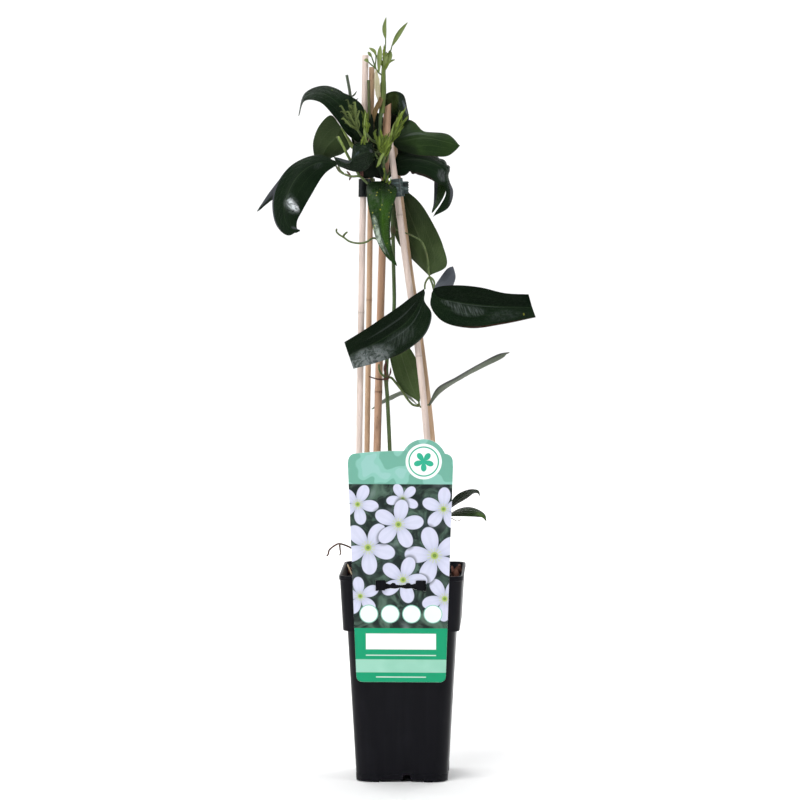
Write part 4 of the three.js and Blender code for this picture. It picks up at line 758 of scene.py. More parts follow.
def cane_rows(radius, path, joints, top_slant=0.0, sides=24):
    """Radius along the cane: a slight taper, plus a bell of 0.25 mm at each joint, less a narrow bell
    for the groove in it. joints are distances along the cane. The section is a circle pressed 2% out
    of round."""
    run, places = length_along(path)
    near = np.array([-5, -3, -1.6, -0.8, -0.35, 0, 0.35, 0.8, 1.6, 3, 5])
    at_joints = (np.array(joints)[:, None] + near).ravel()
    rings = np.concatenate([np.linspace(0, run[-1], 80), at_joints, [run[-1] - 0.25, 0.25]])
    d = np.unique(np.clip(rings, 0, run[-1]).round(3))
    centre = line_at(path, np.interp(d, run, places))
    along = unit(np.gradient(centre, d, axis=0))
    side = unit(np.cross(along, [0, 1, 0]))
    back = np.cross(side, along)
    gap = np.abs(d[:, None] - np.array(joints)).min(1)
    swelling, groove = 0.25 * np.exp(-((gap / 1.7) ** 2)), 0.2 * np.exp(-((gap / 0.4) ** 2))
    r = radius * (1 - 0.03 * d / run[-1]) + swelling - groove
    r = r - 0.22 * (np.minimum(d, run[-1] - d) < 0.1)
    turn, spoke = spokes(side, back, sides)
    ring = r[:, None] * (1 + 0.02 * np.cos(2 * turn + radius))
    rows = centre[:, None] + ring[..., None] * spoke
    rows[-2:, :, 2] += (rows[-2:, :, 0] - path[-1][0]) / radius * top_slant
    return rows, np.clip(gap / 8, 0, 1)


# %% [markdown]
# ## Bamboo
# Dry bamboo has a hard, slightly shiny skin with hundreds of fine fibres along it, so its main noise is
# stretched over sixty times upwards. Small dark flecks are scattered over it, and a brown ring marks each
# joint. One side of each cane is darker: painted shade on the side that turns from the light. The middle cane
# is older: brown clouds and specks cover it, and its lower half is darker.

# %% Bamboo
SHADED_SIDE = 0.56  # place round the cane, from the left over the back, of its side with painted shade


def bamboo(name, light, dark, mottle=0.0, side_shade=0.15):
    finish = Finish(name, IOR=1.45, Specular_IOR_Level=0.35)
    place = finish.place()
    fibre = finish.noise(finish.place((900, 900, 14)), 1, 5, 0.7)
    broad = finish.noise(finish.place((190, 190, 5)), 1, 3, 0.55)
    clouds = finish.noise(finish.place((130, 130, 34)), 1, 4, 0.6)
    flecks = finish.cells(finish.place((700, 700, 110)), 1).rise(0.17, 0.08)
    flecks = flecks * finish.noise(place, 60, 2).rise(0.52 - mottle * 0.1, 0.62 - mottle * 0.1)
    across, along = finish.across_along()
    # darker_below darkens the lower half of the cane in clouds, as strongly as its mottle.
    darker_below = along.rise(0.56, 0.44) * mottle
    shaded_side_mask = ((across - SHADED_SIDE) * 2 * math.pi + math.pi / 2).wave().rise(0.35, 1.0)
    tone = finish.tone()
    ring = tone.rise(0.16, 0.02)
    stain = tone.rise(1.0, 0.1) * clouds.rise(0.35, 0.65)
    colour = finish.mix(fibre.rise(0.3, 0.72) * 0.55 + broad.rise(0.35, 0.7) * 0.35, light, dark)
    # Painted shade: the side of the cane that turns from the light is mixed towards a darker brown.
    colour = finish.mix(shaded_side_mask * (clouds * 0.8 + 0.6) * side_shade, colour, scaled(dark, 0.45))
    stained = stain * 0.3 + clouds.rise(0.58, 0.75) * mottle + darker_below * clouds.rise(0.3, 0.65)
    colour = finish.mix(stained, colour, scaled(dark, 0.42))
    colour = finish.mix(flecks * (0.35 + mottle) + ring * (0.22 + mottle * 0.6), colour, (0.10, 0.045, 0.022))
    finish.relief(fibre * 0.7 + flecks * -0.4, 0.00012, 0.6)
    return finish.wear(Base_Color=colour, Roughness=fibre * 0.2 + 0.4)


PALE_BAMBOO = bamboo("pale_bamboo", (0.73, 0.61, 0.56), (0.53, 0.41, 0.345), 0.03, 0.2)
TAN_BAMBOO = bamboo("tan_bamboo", (0.62, 0.43, 0.285), (0.43, 0.27, 0.165), 0.15, 0.25)
BROWN_BAMBOO = bamboo("brown_bamboo", (0.60, 0.375, 0.25), (0.38, 0.22, 0.135), 0.6, 0.3)
BAMBOOS = {
    "front": (PALE_BAMBOO, "pale_cane"), "back": (TAN_BAMBOO, "tan_cane"),
    "centre": (BROWN_BAMBOO, "brown_cane"),
}
for name, cane in CANES.items():
    rows, tones = cane_rows(**cane)
    look, slot = BAMBOOS[name.split("_")[1]]
    Skin().add(rows, tone=tones).make("bamboo_" + name, [name], slot, [look], sharp=55)

# %% [markdown]
# ## The grip
# A small plastic clip gathers the canes near their tops: a sleeve round each of the four, thin plates
# between them, and a short toothed tab. It is so small that boxes with softened edges and short tubes
# say everything; only their places have to be right, so they are worked out from the canes' own lines.

# %% Grip
GRIP_LOW, GRIP_MIDDLE, GRIP_HIGH = 522.5, 530.5, 538.5
SLEEVE_WALL, PLATE_THICKNESS, PLATE_HEIGHT = 1.3, 1.6, 11
TAB_LENGTH, TEETH, TOOTH_GAP = 7, 5, 2.2
HELD_CANES = ["cane_front_left", "cane_back_left", "cane_back_right", "cane_front_right"]


def cane_at(name, z):
    """Where a cane's middle line passes a height, by looking the height up in a fine sample of it."""
    samples = line_at(CANES[name]["path"], np.linspace(0, 1, 800))
    return np.array([np.interp(z, samples[:, 2], samples[:, k]) for k in range(3)])


def grip_plastic(name, rubbed):
    finish = Finish(name, IOR=1.45, Specular_IOR_Level=0.25)
    grain = finish.noise(finish.place(), 700, 4, 0.6)
    rub = finish.noise(finish.place((90, 90, 400)), 1, 3, 0.6).rise(0.5, 0.7)
    finish.relief(grain, 0.00008, 0.5)
    colour = finish.mix(rub * rubbed + rubbed * 0.28, (0.004, 0.006, 0.006), (0.12, 0.17, 0.165))
    return finish.wear(Base_Color=colour, Roughness=grain * 0.2 + 0.3)


def turned(rows, centre, angle):
    """Rows turned about an upright line through a point."""
    c, s = math.cos(angle), math.sin(angle)
    return rows @ np.array([[c, s, 0], [-s, c, 0], [0, 0, 1]]) + np.array(centre)


def make_grip():
    grip = Skin()
    for name in HELD_CANES:
        ends = [cane_at(name, z) for z in (GRIP_LOW, GRIP_MIDDLE, GRIP_HIGH)]
        sleeve = tube(ends, CANES[name]["radius"] + SLEEVE_WALL, sides=20, spacing=2, rounded=False)
        grip.add(sleeve, finish=int(name == "cane_front_left"))
    for a, b in zip(HELD_CANES[:-1], HELD_CANES[1:]):
        start, end = cane_at(a, GRIP_MIDDLE), cane_at(b, GRIP_MIDDLE)
        run = end - start
        plate = soft_box((np.hypot(run[0], run[1]), PLATE_THICKNESS, PLATE_HEIGHT), (0, 0, 0))
        grip.add(turned(plate, (start + end) / 2, math.atan2(run[1], run[0])))
    x, y, _ = cane_at("cane_back_right", GRIP_MIDDLE)
    grip.add(soft_box((TAB_LENGTH, PLATE_THICKNESS, PLATE_HEIGHT), (x + 4.5, y, GRIP_MIDDLE)))
    for k in range(TEETH):
        grip.add(soft_box((1.2, 1.5, 1.3), (x + 8.0, y, GRIP_MIDDLE - 4.4 + TOOTH_GAP * k), corner=0.25))
    looks = [grip_plastic("grip_plastic", 0.8), grip_plastic("black_sleeve", 0.0)]
    grip.make("grip", ["cane_grip"], "grip_plastic", looks)


make_grip()

# %% [markdown]
# ## The hanging tag
# A thin plastic card hangs in front of the pot on two pegs. Its outline is a tapered sheet with an
# arched top, from which a round bump stands up at one side. The top edge is worked out as the higher of
# two curves, the arch and the circle. A flat curve fills an outline with a hole by itself and gives it
# a thickness, so it is used here and turned into a mesh, and only then leaned against the pot.

# %% Tag shape
CARD_HEIGHT, CARD_TOP, CARD_FOOT, CARD_CORNER = 209.0, 46.6, 39.7, 6.0
BUMP, BUMP_RADIUS = (20.6, 199.6), 20.0
MAP_SIZE = (100, 225)  # the card's two coordinates run from 0 to 1 over this many millimetres


def bent(start, handle, end, count=14):
    """A quadratic curve: a weighed mean of three points, with weights (1-t)^2, 2t(1-t) and t^2."""
    t = np.linspace(0, 1, count)[:, None]
    return (1 - t) ** 2 * np.array(start) + 2 * t * (1 - t) * np.array(handle) + t**2 * np.array(end)


def card_outline():
    """Round the card from the right foot up, over the arch and the bump, and down on the left."""
    h, top, foot, c = CARD_HEIGHT, CARD_TOP, CARD_FOOT, CARD_CORNER
    low_corner = bent((foot - c, 0), (foot, 0), (foot + 0.2, c))
    high_corner = bent((top, h - 2 * c), (top, h - 3.5), (top - c, h - 2.5))
    right = np.vstack([low_corner, high_corner])
    arch = bent((top - c, h - 2.5), (0, h + 2.5), (c - top, h - 2.5), 60)
    round_it = np.radians(np.linspace(89, -89, 90))
    bump = np.array(BUMP) + BUMP_RADIUS * np.column_stack([np.sin(round_it), np.cos(round_it)])
    arch_under_bump = np.interp(bump[:, 0], arch[::-1, 0], arch[::-1, 1])
    bump = bump[bump[:, 1] > arch_under_bump]
    clear = arch[(arch[:, 0] > bump[:, 0].max()) | (arch[:, 0] < bump[:, 0].min())]
    before = clear[clear[:, 0] > BUMP[0]]
    after = clear[clear[:, 0] < BUMP[0]]
    left = right[::-1] * [-1, 1]
    outline = np.vstack([right, before, bump, after, left])
    keep = np.linalg.norm(outline - np.roll(outline, 1, axis=0), axis=1) > 0.05
    return outline[keep]


def card_slot():
    """The hole for the pegs: its right half, and the same mirrored."""
    half = np.array([
        [0, 0.8], [4, 1.2], [5.5, 2.8], [7.6, 2.8], [9.4, 1.4], [13.2, 2.4], [13.4, 4.9], [22.4, 4.9],
        [22.4, -4.6], [20.4, -4.6], [19.8, -3.2], [13.2, -3.2], [9.2, -2.2], [5, -2.6], [0, -1.6]])
    return np.vstack([half, half[-2:0:-1] * [-1, 1]]) + [0, SLOT_HEIGHT]


def filled(outlines, thickness, soft=0.08):
    """Fills flat outlines, gives them a thickness with a soft edge, and returns a mesh in millimetres."""
    curve = bpy.data.curves.new("outline", "CURVE")
    curve.dimensions, curve.fill_mode = "2D", "BOTH"
    curve.extrude, curve.offset = thickness / 2 - soft, -soft
    curve.bevel_depth, curve.bevel_resolution = soft, 1
    for outline in outlines:
        line = curve.splines.new("POLY")
        line.points.add(len(outline) - 1)
        flat, weight = np.zeros(len(outline)), np.ones(len(outline))
        line.points.foreach_set("co", np.column_stack([outline, flat, weight]).ravel())
        line.use_cyclic_u = True
    shape = bpy.data.objects.new("outline", curve)
    bpy.context.scene.collection.objects.link(shape)
    mesh = bpy.data.meshes.new_from_object(shape.evaluated_get(bpy.context.evaluated_depsgraph_get()))
    bpy.data.objects.remove(shape)
    return mesh


print("the tag's outline has", len(card_outline()), "points")

# %% [markdown]
# ## The tag's print
# The print is a plain design of the tag's own kind: a pale green header, a dark leafy ground with white
# five-petalled blossoms, a row of plain discs, and a green foot with a blank white panel. Each shape is
# a formula on the card's coordinates in millimetres. A blossom is a circle whose radius follows the
# cosine of the angle, so that it has five lobes, and a soft step on that radius gives its edge.

# %% Tag print
CARD_GREEN = (0.003, 0.31, 0.145)
BLOSSOMS = [
    ((-38, 161), 19, 0.3), ((39, 76), 21, 0.9), ((-36, 78), 18, 2.0), ((2, 166), 15, 1.2),
    ((38, 157), 20, 2.5), ((-29, 122), 25, 0.6), ((30, 115), 27, 1.7), ((-2, 143), 23, 2.8),
    ((2, 93), 22, 0.1)]  # middle, size and turn of each
DISC_PLACES, DISC_LEVEL = (-28.5, -9.5, 9.5, 28.5), 62


def card_point(finish):
    """The place on the card in millimetres: x from the middle, y from the foot."""
    across, along = finish.across_along()
    return (across - 0.5) * MAP_SIZE[0], along * MAP_SIZE[1]


def blossom(finish, x, y, middle, size, turn):
    """How far a point lies inside a blossom's outline, how far out it is, how near a petal's midline,
    and its angle."""
    dx, dy = (x - middle[0]) / size, (y - middle[1]) / size
    out = (dx * dx + dy * dy) ** 0.5
    angle = finish.node("ShaderNodeMath", {"operation": "ARCTAN2"}, {0: dy, 1: dx})
    lobes = finish.node("ShaderNodeMath", {"operation": "COSINE"}, {0: angle * 2.5 + turn}).abs()
    return (lobes**0.8) * 0.72 + 0.28 - out, out, lobes, angle


def frame_mask(x, y, box, soft=0.4):
    """1 inside a box given as left, right, low and high."""
    left, right, low, high = box
    inside_x = x.rise(left - soft, left) * x.rise(right + soft, right)
    return inside_x * y.rise(low - soft, low) * y.rise(high + soft, high)


def disc_mask(x, y, middle, radius, soft=0.35):
    """1 inside a circle."""
    dx, dy = x - middle[0], y - middle[1]
    return ((dx * dx + dy * dy) ** 0.5).rise(radius + soft, radius)


def tag_print():
    finish = Finish("tag_print", IOR=1.45, Specular_IOR_Level=0.2, Coat_Weight=0.12, Coat_Roughness=0.2)
    x, y = card_point(finish)
    place = finish.node("ShaderNodeCombineXYZ", {}, {0: x, 1: y})
    leafy = finish.noise(place, 0.055, 4, 0.55, 1.2)
    glow = finish.noise(place, 0.03, 2, 0.5)
    colour = finish.mix(leafy.rise(0.42, 0.7), (0.006, 0.014, 0.012), (0.085, 0.15, 0.11))
    colour = finish.mix(glow.rise(0.54, 0.75) * 0.8, colour, (0.34, 0.40, 0.42))
    for middle, size, turn in BLOSSOMS:
        inside, out, lobes, angle = blossom(finish, x, y, middle, size, turn)
        colour = finish.mix(inside.rise(-0.16, 0.0) * 0.65, colour, (0.02, 0.035, 0.04))
        vein = lobes.rise(0.93, 1.0) * 0.12 + out.rise(0.55, 0.1) * 0.35
        vein = vein.math("ADD", (1 - lobes) * 0.35, clamp=True)
        petal = finish.mix(vein, (0.64, 0.65, 0.80), (0.30, 0.34, 0.46))
        stamens = (angle * 13).wave().rise(0.1, 0.6) * out.rise(0.10, 0.14) * out.rise(0.27, 0.23)
        petal = finish.mix(stamens * 0.7, petal, (0.52, 0.58, 0.30))
        petal = finish.mix(out.rise(0.15, 0.10), petal, (0.40, 0.50, 0.13))
        petal = finish.mix(out.rise(0.08, 0.05), petal, (0.16, 0.27, 0.05))
        colour = finish.mix(inside.rise(0.0, 0.04), colour, petal)
    head = y.rise(179, 179.5)
    patches = finish.noise(place, 0.05, 1, 0.4, 0.4)
    header = finish.mix(patches.rise(0.5, 0.53), (0.155, 0.40, 0.31), (0.24, 0.52, 0.44))
    header = finish.mix(patches.rise(0.6, 0.63), header, (0.29, 0.55, 0.50))
    colour = finish.mix(head, colour, header)
    badge = disc_mask(x, y, BUMP, 15.8)
    colour = finish.mix(badge, colour, (0.90, 0.93, 0.92))
    ring = disc_mask(x, y, BUMP, 13.4) * (1 - disc_mask(x, y, BUMP, 12.2))
    inside, *_ = blossom(finish, x, y, BUMP, 9.2, 0.8)
    colour = finish.mix((inside.rise(0.0, 0.04) + ring).least(1), colour, (0.03, 0.40, 0.25))
    colour = finish.mix(y.rise(49.4, 48.8), colour, CARD_GREEN)
    for middle in DISC_PLACES:
        colour = finish.mix(disc_mask(x, y, (middle, DISC_LEVEL), 8.2), colour, (0.20, 0.52, 0.40))
        colour = finish.mix(disc_mask(x, y, (middle, DISC_LEVEL), 7.5), colour, (0.80, 0.90, 0.88))
    colour = finish.mix(frame_mask(x, y, (-31, 31, 30, 44)), colour, (0.90, 0.92, 0.92))
    band = frame_mask(x, y, (-42, 42, 9, 20.5)) * (patches * 0.4 + 0.5)
    colour = finish.mix(band, colour, (0.42, 0.72, 0.60))
    line = frame_mask(x, y, (-31, 31, 24.2, 24.7)) + frame_mask(x, y, (-22, 22, 4.4, 4.9))
    colour = finish.mix(line * 0.8, colour, (0.75, 0.88, 0.82))
    scratch = finish.noise(finish.place((40, 40, 300)), 1, 4, 0.7)
    return finish.wear(Base_Color=colour, Roughness=scratch * 0.12 + 0.24)


def tag_back_finish():
    finish = Finish("tag_back", IOR=1.5)
    grain = finish.noise(finish.place(), 60, 3, 0.6)
    colour = finish.mix(grain, (0.72, 0.76, 0.74), (0.80, 0.83, 0.81))
    return finish.wear(Base_Color=colour, Roughness=grain * 0.15 + 0.3)


print(len(BLOSSOMS), "blossoms on the tag")

# %% [markdown]
# ## The tag in its place
# The filled outline lies flat at the origin. Its points give the two coordinates of the print first,
# and then they are stood up, leaned against the pot and hung at the right level. Only faces that look
# to the front get the print, and the back and the edge stay plain.

# %% Tag
def make_tag():
    """On the flat card y runs up and z out of its front. Leaned, a point lies y times the lean's sine
    plus z times its cosine further forward, and y times the cosine less z times the sine higher."""
    mesh = filled([card_outline(), card_slot()], TAG_THICKNESS)
    flat = np.zeros(len(mesh.vertices) * 3)
    mesh.vertices.foreach_get("co", flat)
    flat = flat.reshape(-1, 3)
    corners = np.zeros(len(mesh.loops), int)
    mesh.loops.foreach_get("vertex_index", corners)
    if not mesh.uv_layers:
        mesh.uv_layers.new(name="UVMap")
    mesh.uv_layers[0].name = "UVMap"
    mesh.uv_layers[0].uv.foreach_set("vector", (flat[corners, :2] / MAP_SIZE + [0.5, 0]).ravel())
    c, s = math.cos(TAG_LEAN), math.sin(TAG_LEAN)
    z = flat[:, 2] + TAG_THICKNESS / 2
    forward = -flat[:, 1] * s - z * c + tag_back(TAG_FOOT_LEVEL)
    placed = np.column_stack([flat[:, 0], forward, flat[:, 1] * c - z * s + TAG_FOOT_LEVEL])
    mesh.vertices.foreach_set("co", (placed * MM).ravel())
    mesh.update()
    front = np.zeros(len(mesh.polygons) * 3)
    mesh.polygons.foreach_get("normal", front)
    mesh.materials.clear()
    mesh.materials.append(tag_print())
    mesh.materials.append(tag_back_finish())
    mesh.polygons.foreach_set("material_index", (front.reshape(-1, 3)[:, 1] > -0.9).astype(np.int32))
    settle(bpy.data.objects.new("tag_card", mesh), ["hanging_tag"])


make_tag()

# %% [markdown]
# ## Stems and stalks
# The stem climbs behind the canes' front pair and is tied to nothing: the leaf stalks hook round what
# they meet. All of them are round sections carried along smooth lines. A climbing stem has six faint
# ribs and swells where leaves leave it, and most stalks are thicker at their foot. A joined mesh of
# tubes that run into each other looks grown, because their ends are sunk into the next one.

# %% Lines of the stems
NODE_LEVELS = (361, 493, 534, 567)  # where leaves leave the stem
MAIN_STEM = through(
    "-8 -1 130, -9 -1 184, -10.5 -1.5 240, -12 -2 297, -14 -4 342, -15 -6 360, -13.5 -5 385.5, "
    "-10 -4 407.5, -8 -4 422, -8.5 -4 464, -9 -4 493, -10.5 -5 515, -13.5 -6 532, -17.5 -7 551, "
    "-20 -7 572.5, -20 -7.5 590, -18 -7.5 601.5, -16.5 -6 613, -16.5 -5 626")
SECOND_STEM = through("-20 -7 581, -20.5 -7.2 590, -19.8 -6 605, -19.3 -5 617.5, -19.2 -5.2 624.5")
STOUT_TIP = through("-18.3 -7.3 597, -17.5 -6.2 611, -17.4 -5.3 625.7")
BLADE_STALKS = several("""
    23.2 -16.5 460, 23.4 -16.5 456, 24 -15.2 452.8 /
    24.2 -19 452, 21.5 -23 448.5, 20.3 -25.5 445, 20.3 -26 440.8 /
    24.2 -19 452, 27.5 -23 449.5, 28.8 -25.5 446, 27.5 -26 441.5 /
    24.2 -19 452, 26.5 -20 446, 27.5 -17 441.5, 28 -14 440 /
    15 -12 335.5, 14 -10.8 336.2, 12.5 -9.6 337.2 /
    15 -12 335.5, 14.5 -12 339.7 /
    15 -12 335.5, 18 -11.5 334.5, 23.5 -10 337 /
    -52 -17 543, -56 -16 547, -57.2 -14.4 552.2 /
    -52 -17 543, -57 -11 546, -59 -8 549, -60.5 -6 551.5 /
    -38 -14 561.5, -44 -10 566, -50 -5.5 575, -54.8 -1.8 583.9 /
    -32 -14 561, -37 -15 564.5, -39.5 -14 571.5 /
    -19 -8 554, -21 -15 556.5, -24.5 -20 561 /
    -17.5 -7 548, -20.5 -4 549.5, -22 -0.5 550.5, -22 3.8 552 /
    -16.5 -6.7 546, -20.5 -3 547, -21.6 2 548.5, -18.5 6.5 550 /
    -11.5 -5.5 523, -12.8 -11 530, -14.5 -13.5 534.5, -16.2 -15 538.4 /
    -14.5 -6 540, -11.2 -3 546, -8.5 -1.5 550 /
    -14.5 -6 540, -12 -3 543.5, -10.5 0 546, -8 1.2 548, -3 3 550.5, 6 8 549, 14 8 549, 22.5 8 549.5 /
    -19 -7 563, -15.5 -5 565.5, -12.8 -3.1 568.5, -10 -1.5 571 /
    -20 -7 580, -21.5 0 583, -20 6 586, -15 7 589""")
BARE_STALKS = several("""
    -8.6 -4 494, -4.5 -2 492.5, 2.5 -2 490, 11 -7 486.5, 17 -9 482.5, 22 -12 470, 24.2 -19 452 /
    -14.6 -6 361, -10.5 -6 360.5, -7 -8 357, -0.5 -10 349, 5 -12 341, 9 -13 337, 12 -12.8 336,
    15 -12 335.5 /
    -13.5 -6 533, -22 -10 531.5, -31 -17.5 535, -38 -18 541, -45 -17.5 541, -52 -17 543 /
    -19.5 -7 564, -26 -13 561.5, -33 -14 560.5, -39 -14 562 /
    -38 -18 541, -45 -20 553, -50 -20 563, -55 -19 571, -58.5 -17 576.5""")
CURLED_STALK = through(
    "-8.6 -5 487.5, -12 -13 484.5, -20 -22 484.5, -25.5 -26 486.5, -32 -28 483, -38 -28 482, "
    "-46.5 -27 483.5, -52.5 -26 487.5, -56 -25 489.5, -58.5 -25 492.5, -58 -25 495")
CURLED_STALK_FORK = through("-52.5 -26 487.5, -51 -25 490, -48.5 -24 492")
NODE_STUB = through("-15.3 -7.8 361.5, -18.5 -9 363.5, -21 -9.5 368, -21.5 -9 373")
NODE_SCALES = [
    (2.4, through("-15 -8 362, -16 -9.5 368, -15.5 -9.5 372, -14.5 -9 376")),
    (1.3, through("-12.6 -7.5 361.5, -11 -8.5 365.5, -11 -8.5 370")),
]
DRY_SHEATH = through(
    "-18.6 -6 614, -19 -7.5 611, -20.5 -9.5 606.5, -24 -10.5 600, -26 -11 592, -26.5 -11 585")
CREAM_SHEATH = through("-20.8 -6.8 606, -22.3 -8.2 616, -23.3 -8.6 627, -24 -8 636")
WITHERED_BUD = through("-35.8 -18 538.5, -36.5 -17 543, -36 -15.5 547.5")
LOW_SHOOT = through("19 -9 150, 20.5 -11 184, 24.5 -15 197.5, 30.5 -22 220.5, 35 -27 235")
LOW_SHOOT_STALKS = several("""
    30.5 -22 220.5, 35 -27 235, 37 -29 240, 39.5 -30 243.5 /
    30.5 -22 220.5, 34 -26 231, 37 -29 236, 40.5 -30 239""")
LOW_SHOOT_CURL = through("35 -27 233, 40 -30 236, 45 -31 236.5, 49 -32 234.5, 53 -33 236")
DEAD_TWIG = through(
    "-24 -26 150, -25 -28 184, -31.5 -38 200, -45 -40 211, -53 -42 214.5, -56 -43 215, -61.5 -44 212, "
    "-64.5 -45 209, -65 -45 206, -66.5 -45 204")
DEAD_TWIG_FORK = through("-55 -43 214.5, -54.5 -44 210, -54 -44 207, -55 -44 204.5")
DRY_TENDRIL = through(
    "-12 -9.3 360.5, -14.5 -9.5 359.8, -18 -9.2 359.3, -22 -8.5 359.3, -26 -5 360, -30.5 -3.5 361.4")
CUT_STEM = through(
    "-14.9 -8 527, -20.5 -6.5 528.5, -27.5 -6.5 538, -29 -8 551, -29 -8.5 573.5, -29.8 -9.5 597, "
    "-30.5 -10 626.5")
CUT_SHOOT = through("-41 -8.4 566, -42 -4 573, -44.5 0.5 584, -46.5 2 598, -47.5 2 614, -50.5 2 631")
CUT_SHOOT_SPINES = several("""
    -47.5 2 611, -44 1 613, -41.5 0 616.5 /
    -47.3 2 607, -43.5 1 608, -40 0 610""")
TOP_STALKS = several("""
    -16.3 -5 627, -16.5 -4.5 640, -16 -4 651.5, -15.5 -4 658, -15.5 -4 664 /
    -16.3 -4.5 634, -14.5 -4 642.5, -11.5 -4 650.5, -9.5 -4 658 /
    -16.6 -5 628, -19 -6 631, -22 -7 633.5, -24.5 -7 638, -24 -8 644, -24 -9 649 /
    -24 -7 636, -25.3 -8 640, -26.5 -9 643.5, -28 -10 648 /
    -24 -7 636, -26 -8 638.5, -28 -9 640, -31 -10 643""")
TOP_BLADES = [
    (1.9, through("-15.5 -4 663, -16.5 -4 669, -16.5 -4 674.5, -15 -4 682")),
    (2.1, through("-9.5 -4 657, -6 -5 663.5, -1.5 -5 670.5, 4 -4 677.5")),
    (2.2, through("-21.5 -6.8 633, -21 -8 644, -20.5 -8 651.5, -20 -7 657")),
    (1.5, through("-24 -9 648, -25 -10 651.5, -27.5 -10 653.5, -30 -9 655")),
    (1.4, through("-27.8 -10 647, -29.5 -10.5 649.5, -31 -10 651.5")),
    (1.6, through("-30.5 -10 642.5, -32.5 -10.5 644, -34.5 -10 644")),
    (0.9, through("-14.5 -4.5 640, -10 -5 643.5, -7 -5 644.5")),
    (1.8, through("-16 -5 635.5, -16 -7 642.5, -15 -7 648, -14.5 -6 651.5")),
    (1.8, through("-15.5 -5 635.5, -13 -7 642.5, -11 -6 648, -10.3 -5 651.5")),
]
FANS = {
    "bract_fan_left": {
        "half_width": 1.7,
        "foot": through("-26.5 -14.6 563.5, -32 -16.5 571, -36 -20 577, -39.5 -27 582.5"),
        "tips": through(
            "-50 -32 608.5, -43.5 -32 606, -55.5 -33 603, -49.5 -33 598, -53.5 -34 592, -39.5 -31 598.5"),
    },
    "bract_fan_front": {
        "half_width": 2,
        "foot": through("-21.1 -9.5 569.5, -24 -15 571.5, -28 -21.5 574, -32 -26.5 580"),
        "tips": through("-36 -28 599.5, -33 -29 601, -30 -28 598.5, -31.5 -30 593"),
    },
    "bract_fan_right": {
        "half_width": 2,
        "foot": through("-16.3 -9.2 553, -14 -13.5 556, -12 -17 564, -9.5 -18.5 572"),
        "tips": through("3.5 -17 603, 6 -17 596, -2.5 -20 600, -0.5 -20 589.5, -4.5 -20 594"),
    },
    "bract_fan_centre": {
        "half_width": 2.2,
        "foot": through("-16.8 -10 545.5, -17.3 -13 548.5, -17 -16 552, -16 -19 560"),
        "tips": through("-19.5 -22 583.5, -14 -22 579.5, -10.5 -22.5 578.5, -8 -22.5 572, -21 -22 571.5"),
    },
}
print(len(BLADE_STALKS) + len(BARE_STALKS), "leaf stalks and", len(FANS), "fans")


# %% [markdown]
# ## Green bark
# Young stems are a light grey-green with fine darker fibres, a purple tinge round their joints and
# pale dots. The stalks of the leaves are smoother and greener. The dead bits are brown, dry and wrinkled.

# %% Stem finishes
def stem_finish(name, pale, green, tinge, joints=()):
    finish = Finish(name, IOR=1.42, Specular_IOR_Level=0.3)
    fibre = finish.noise(finish.place((800, 800, 40)), 1, 4, 0.65)
    broad = finish.noise(finish.place(), 60, 2, 0.5)
    dots = finish.cells(finish.place((500, 500, 260)), 1).rise(0.16, 0.1)
    colour = finish.mix(fibre.rise(0.3, 0.7), pale, green)
    colour = finish.mix(broad.rise(0.52, 0.72) * 0.6, colour, tinge)
    height = finish.node("ShaderNodeSeparateXYZ", {}, {0: finish.place()}, out=2)
    for level in joints:
        near = (height - level * MM).abs().rise(0.006, 0.001)
        colour = finish.mix(near * 0.6, colour, (0.09, 0.05, 0.035))
    colour = finish.mix(dots * 0.3, colour, scaled(pale, 1.5))
    finish.relief(fibre + dots * 0.3, 0.0001, 0.6)
    return finish.wear(Base_Color=colour, Roughness=fibre * 0.2 + 0.42)


def dry_finish(name, dark, light):
    finish = Finish(name, Specular_IOR_Level=0.3)
    wrinkle = finish.noise(finish.place((700, 700, 240)), 1, 5, 0.7, 0.6)
    finish.relief(wrinkle, 0.0004, 0.9)
    colour = finish.mix(wrinkle.rise(0.3, 0.75), dark, light)
    return finish.wear(Base_Color=colour, Roughness=wrinkle * 0.2 + 0.7)


STEM_GREEN = stem_finish(
    "stem_green", (0.11, 0.155, 0.065), (0.045, 0.08, 0.025), (0.07, 0.055, 0.03), NODE_LEVELS)
STALK_GREEN = stem_finish("stalk_green", (0.12, 0.16, 0.06), (0.05, 0.08, 0.022), (0.08, 0.07, 0.03))
TIP_GREEN = stem_finish("tip_green", (0.13, 0.175, 0.045), (0.06, 0.09, 0.018), (0.10, 0.12, 0.03))
DRY_BROWN = dry_finish("dry_brown", (0.035, 0.015, 0.012), (0.13, 0.07, 0.045))
DRY_RED = dry_finish("dry_red", (0.03, 0.008, 0.008), (0.11, 0.045, 0.03))
CUT_GREY = stem_finish("cut_grey", (0.11, 0.13, 0.10), (0.045, 0.065, 0.035), (0.07, 0.06, 0.04))
CUT_OLIVE = stem_finish("cut_olive", (0.10, 0.115, 0.045), (0.04, 0.055, 0.018), (0.07, 0.06, 0.03))
SHEATH_CREAM = stem_finish("sheath_cream", (0.52, 0.46, 0.33), (0.28, 0.27, 0.14), (0.36, 0.28, 0.17))
SHEATH_BROWN = stem_finish("sheath_brown", (0.17, 0.11, 0.04), (0.08, 0.048, 0.016), (0.05, 0.025, 0.012))
print(len(bpy.data.materials), "finishes so far")

# %% [markdown]
# ## Small blades
# Scales, bracts and the leaflets of the top shoot are all the same form at different sizes: a pointed
# blade, folded a little along its rib, whose half width rises and falls as a sine. It is built as a
# flat ring: the upper face from one margin to the other and the lower face back again.

# %% Small blades
LOOKS_TO = np.array([0.1, -1, 0.2])  # roughly where the upper faces of small blades look


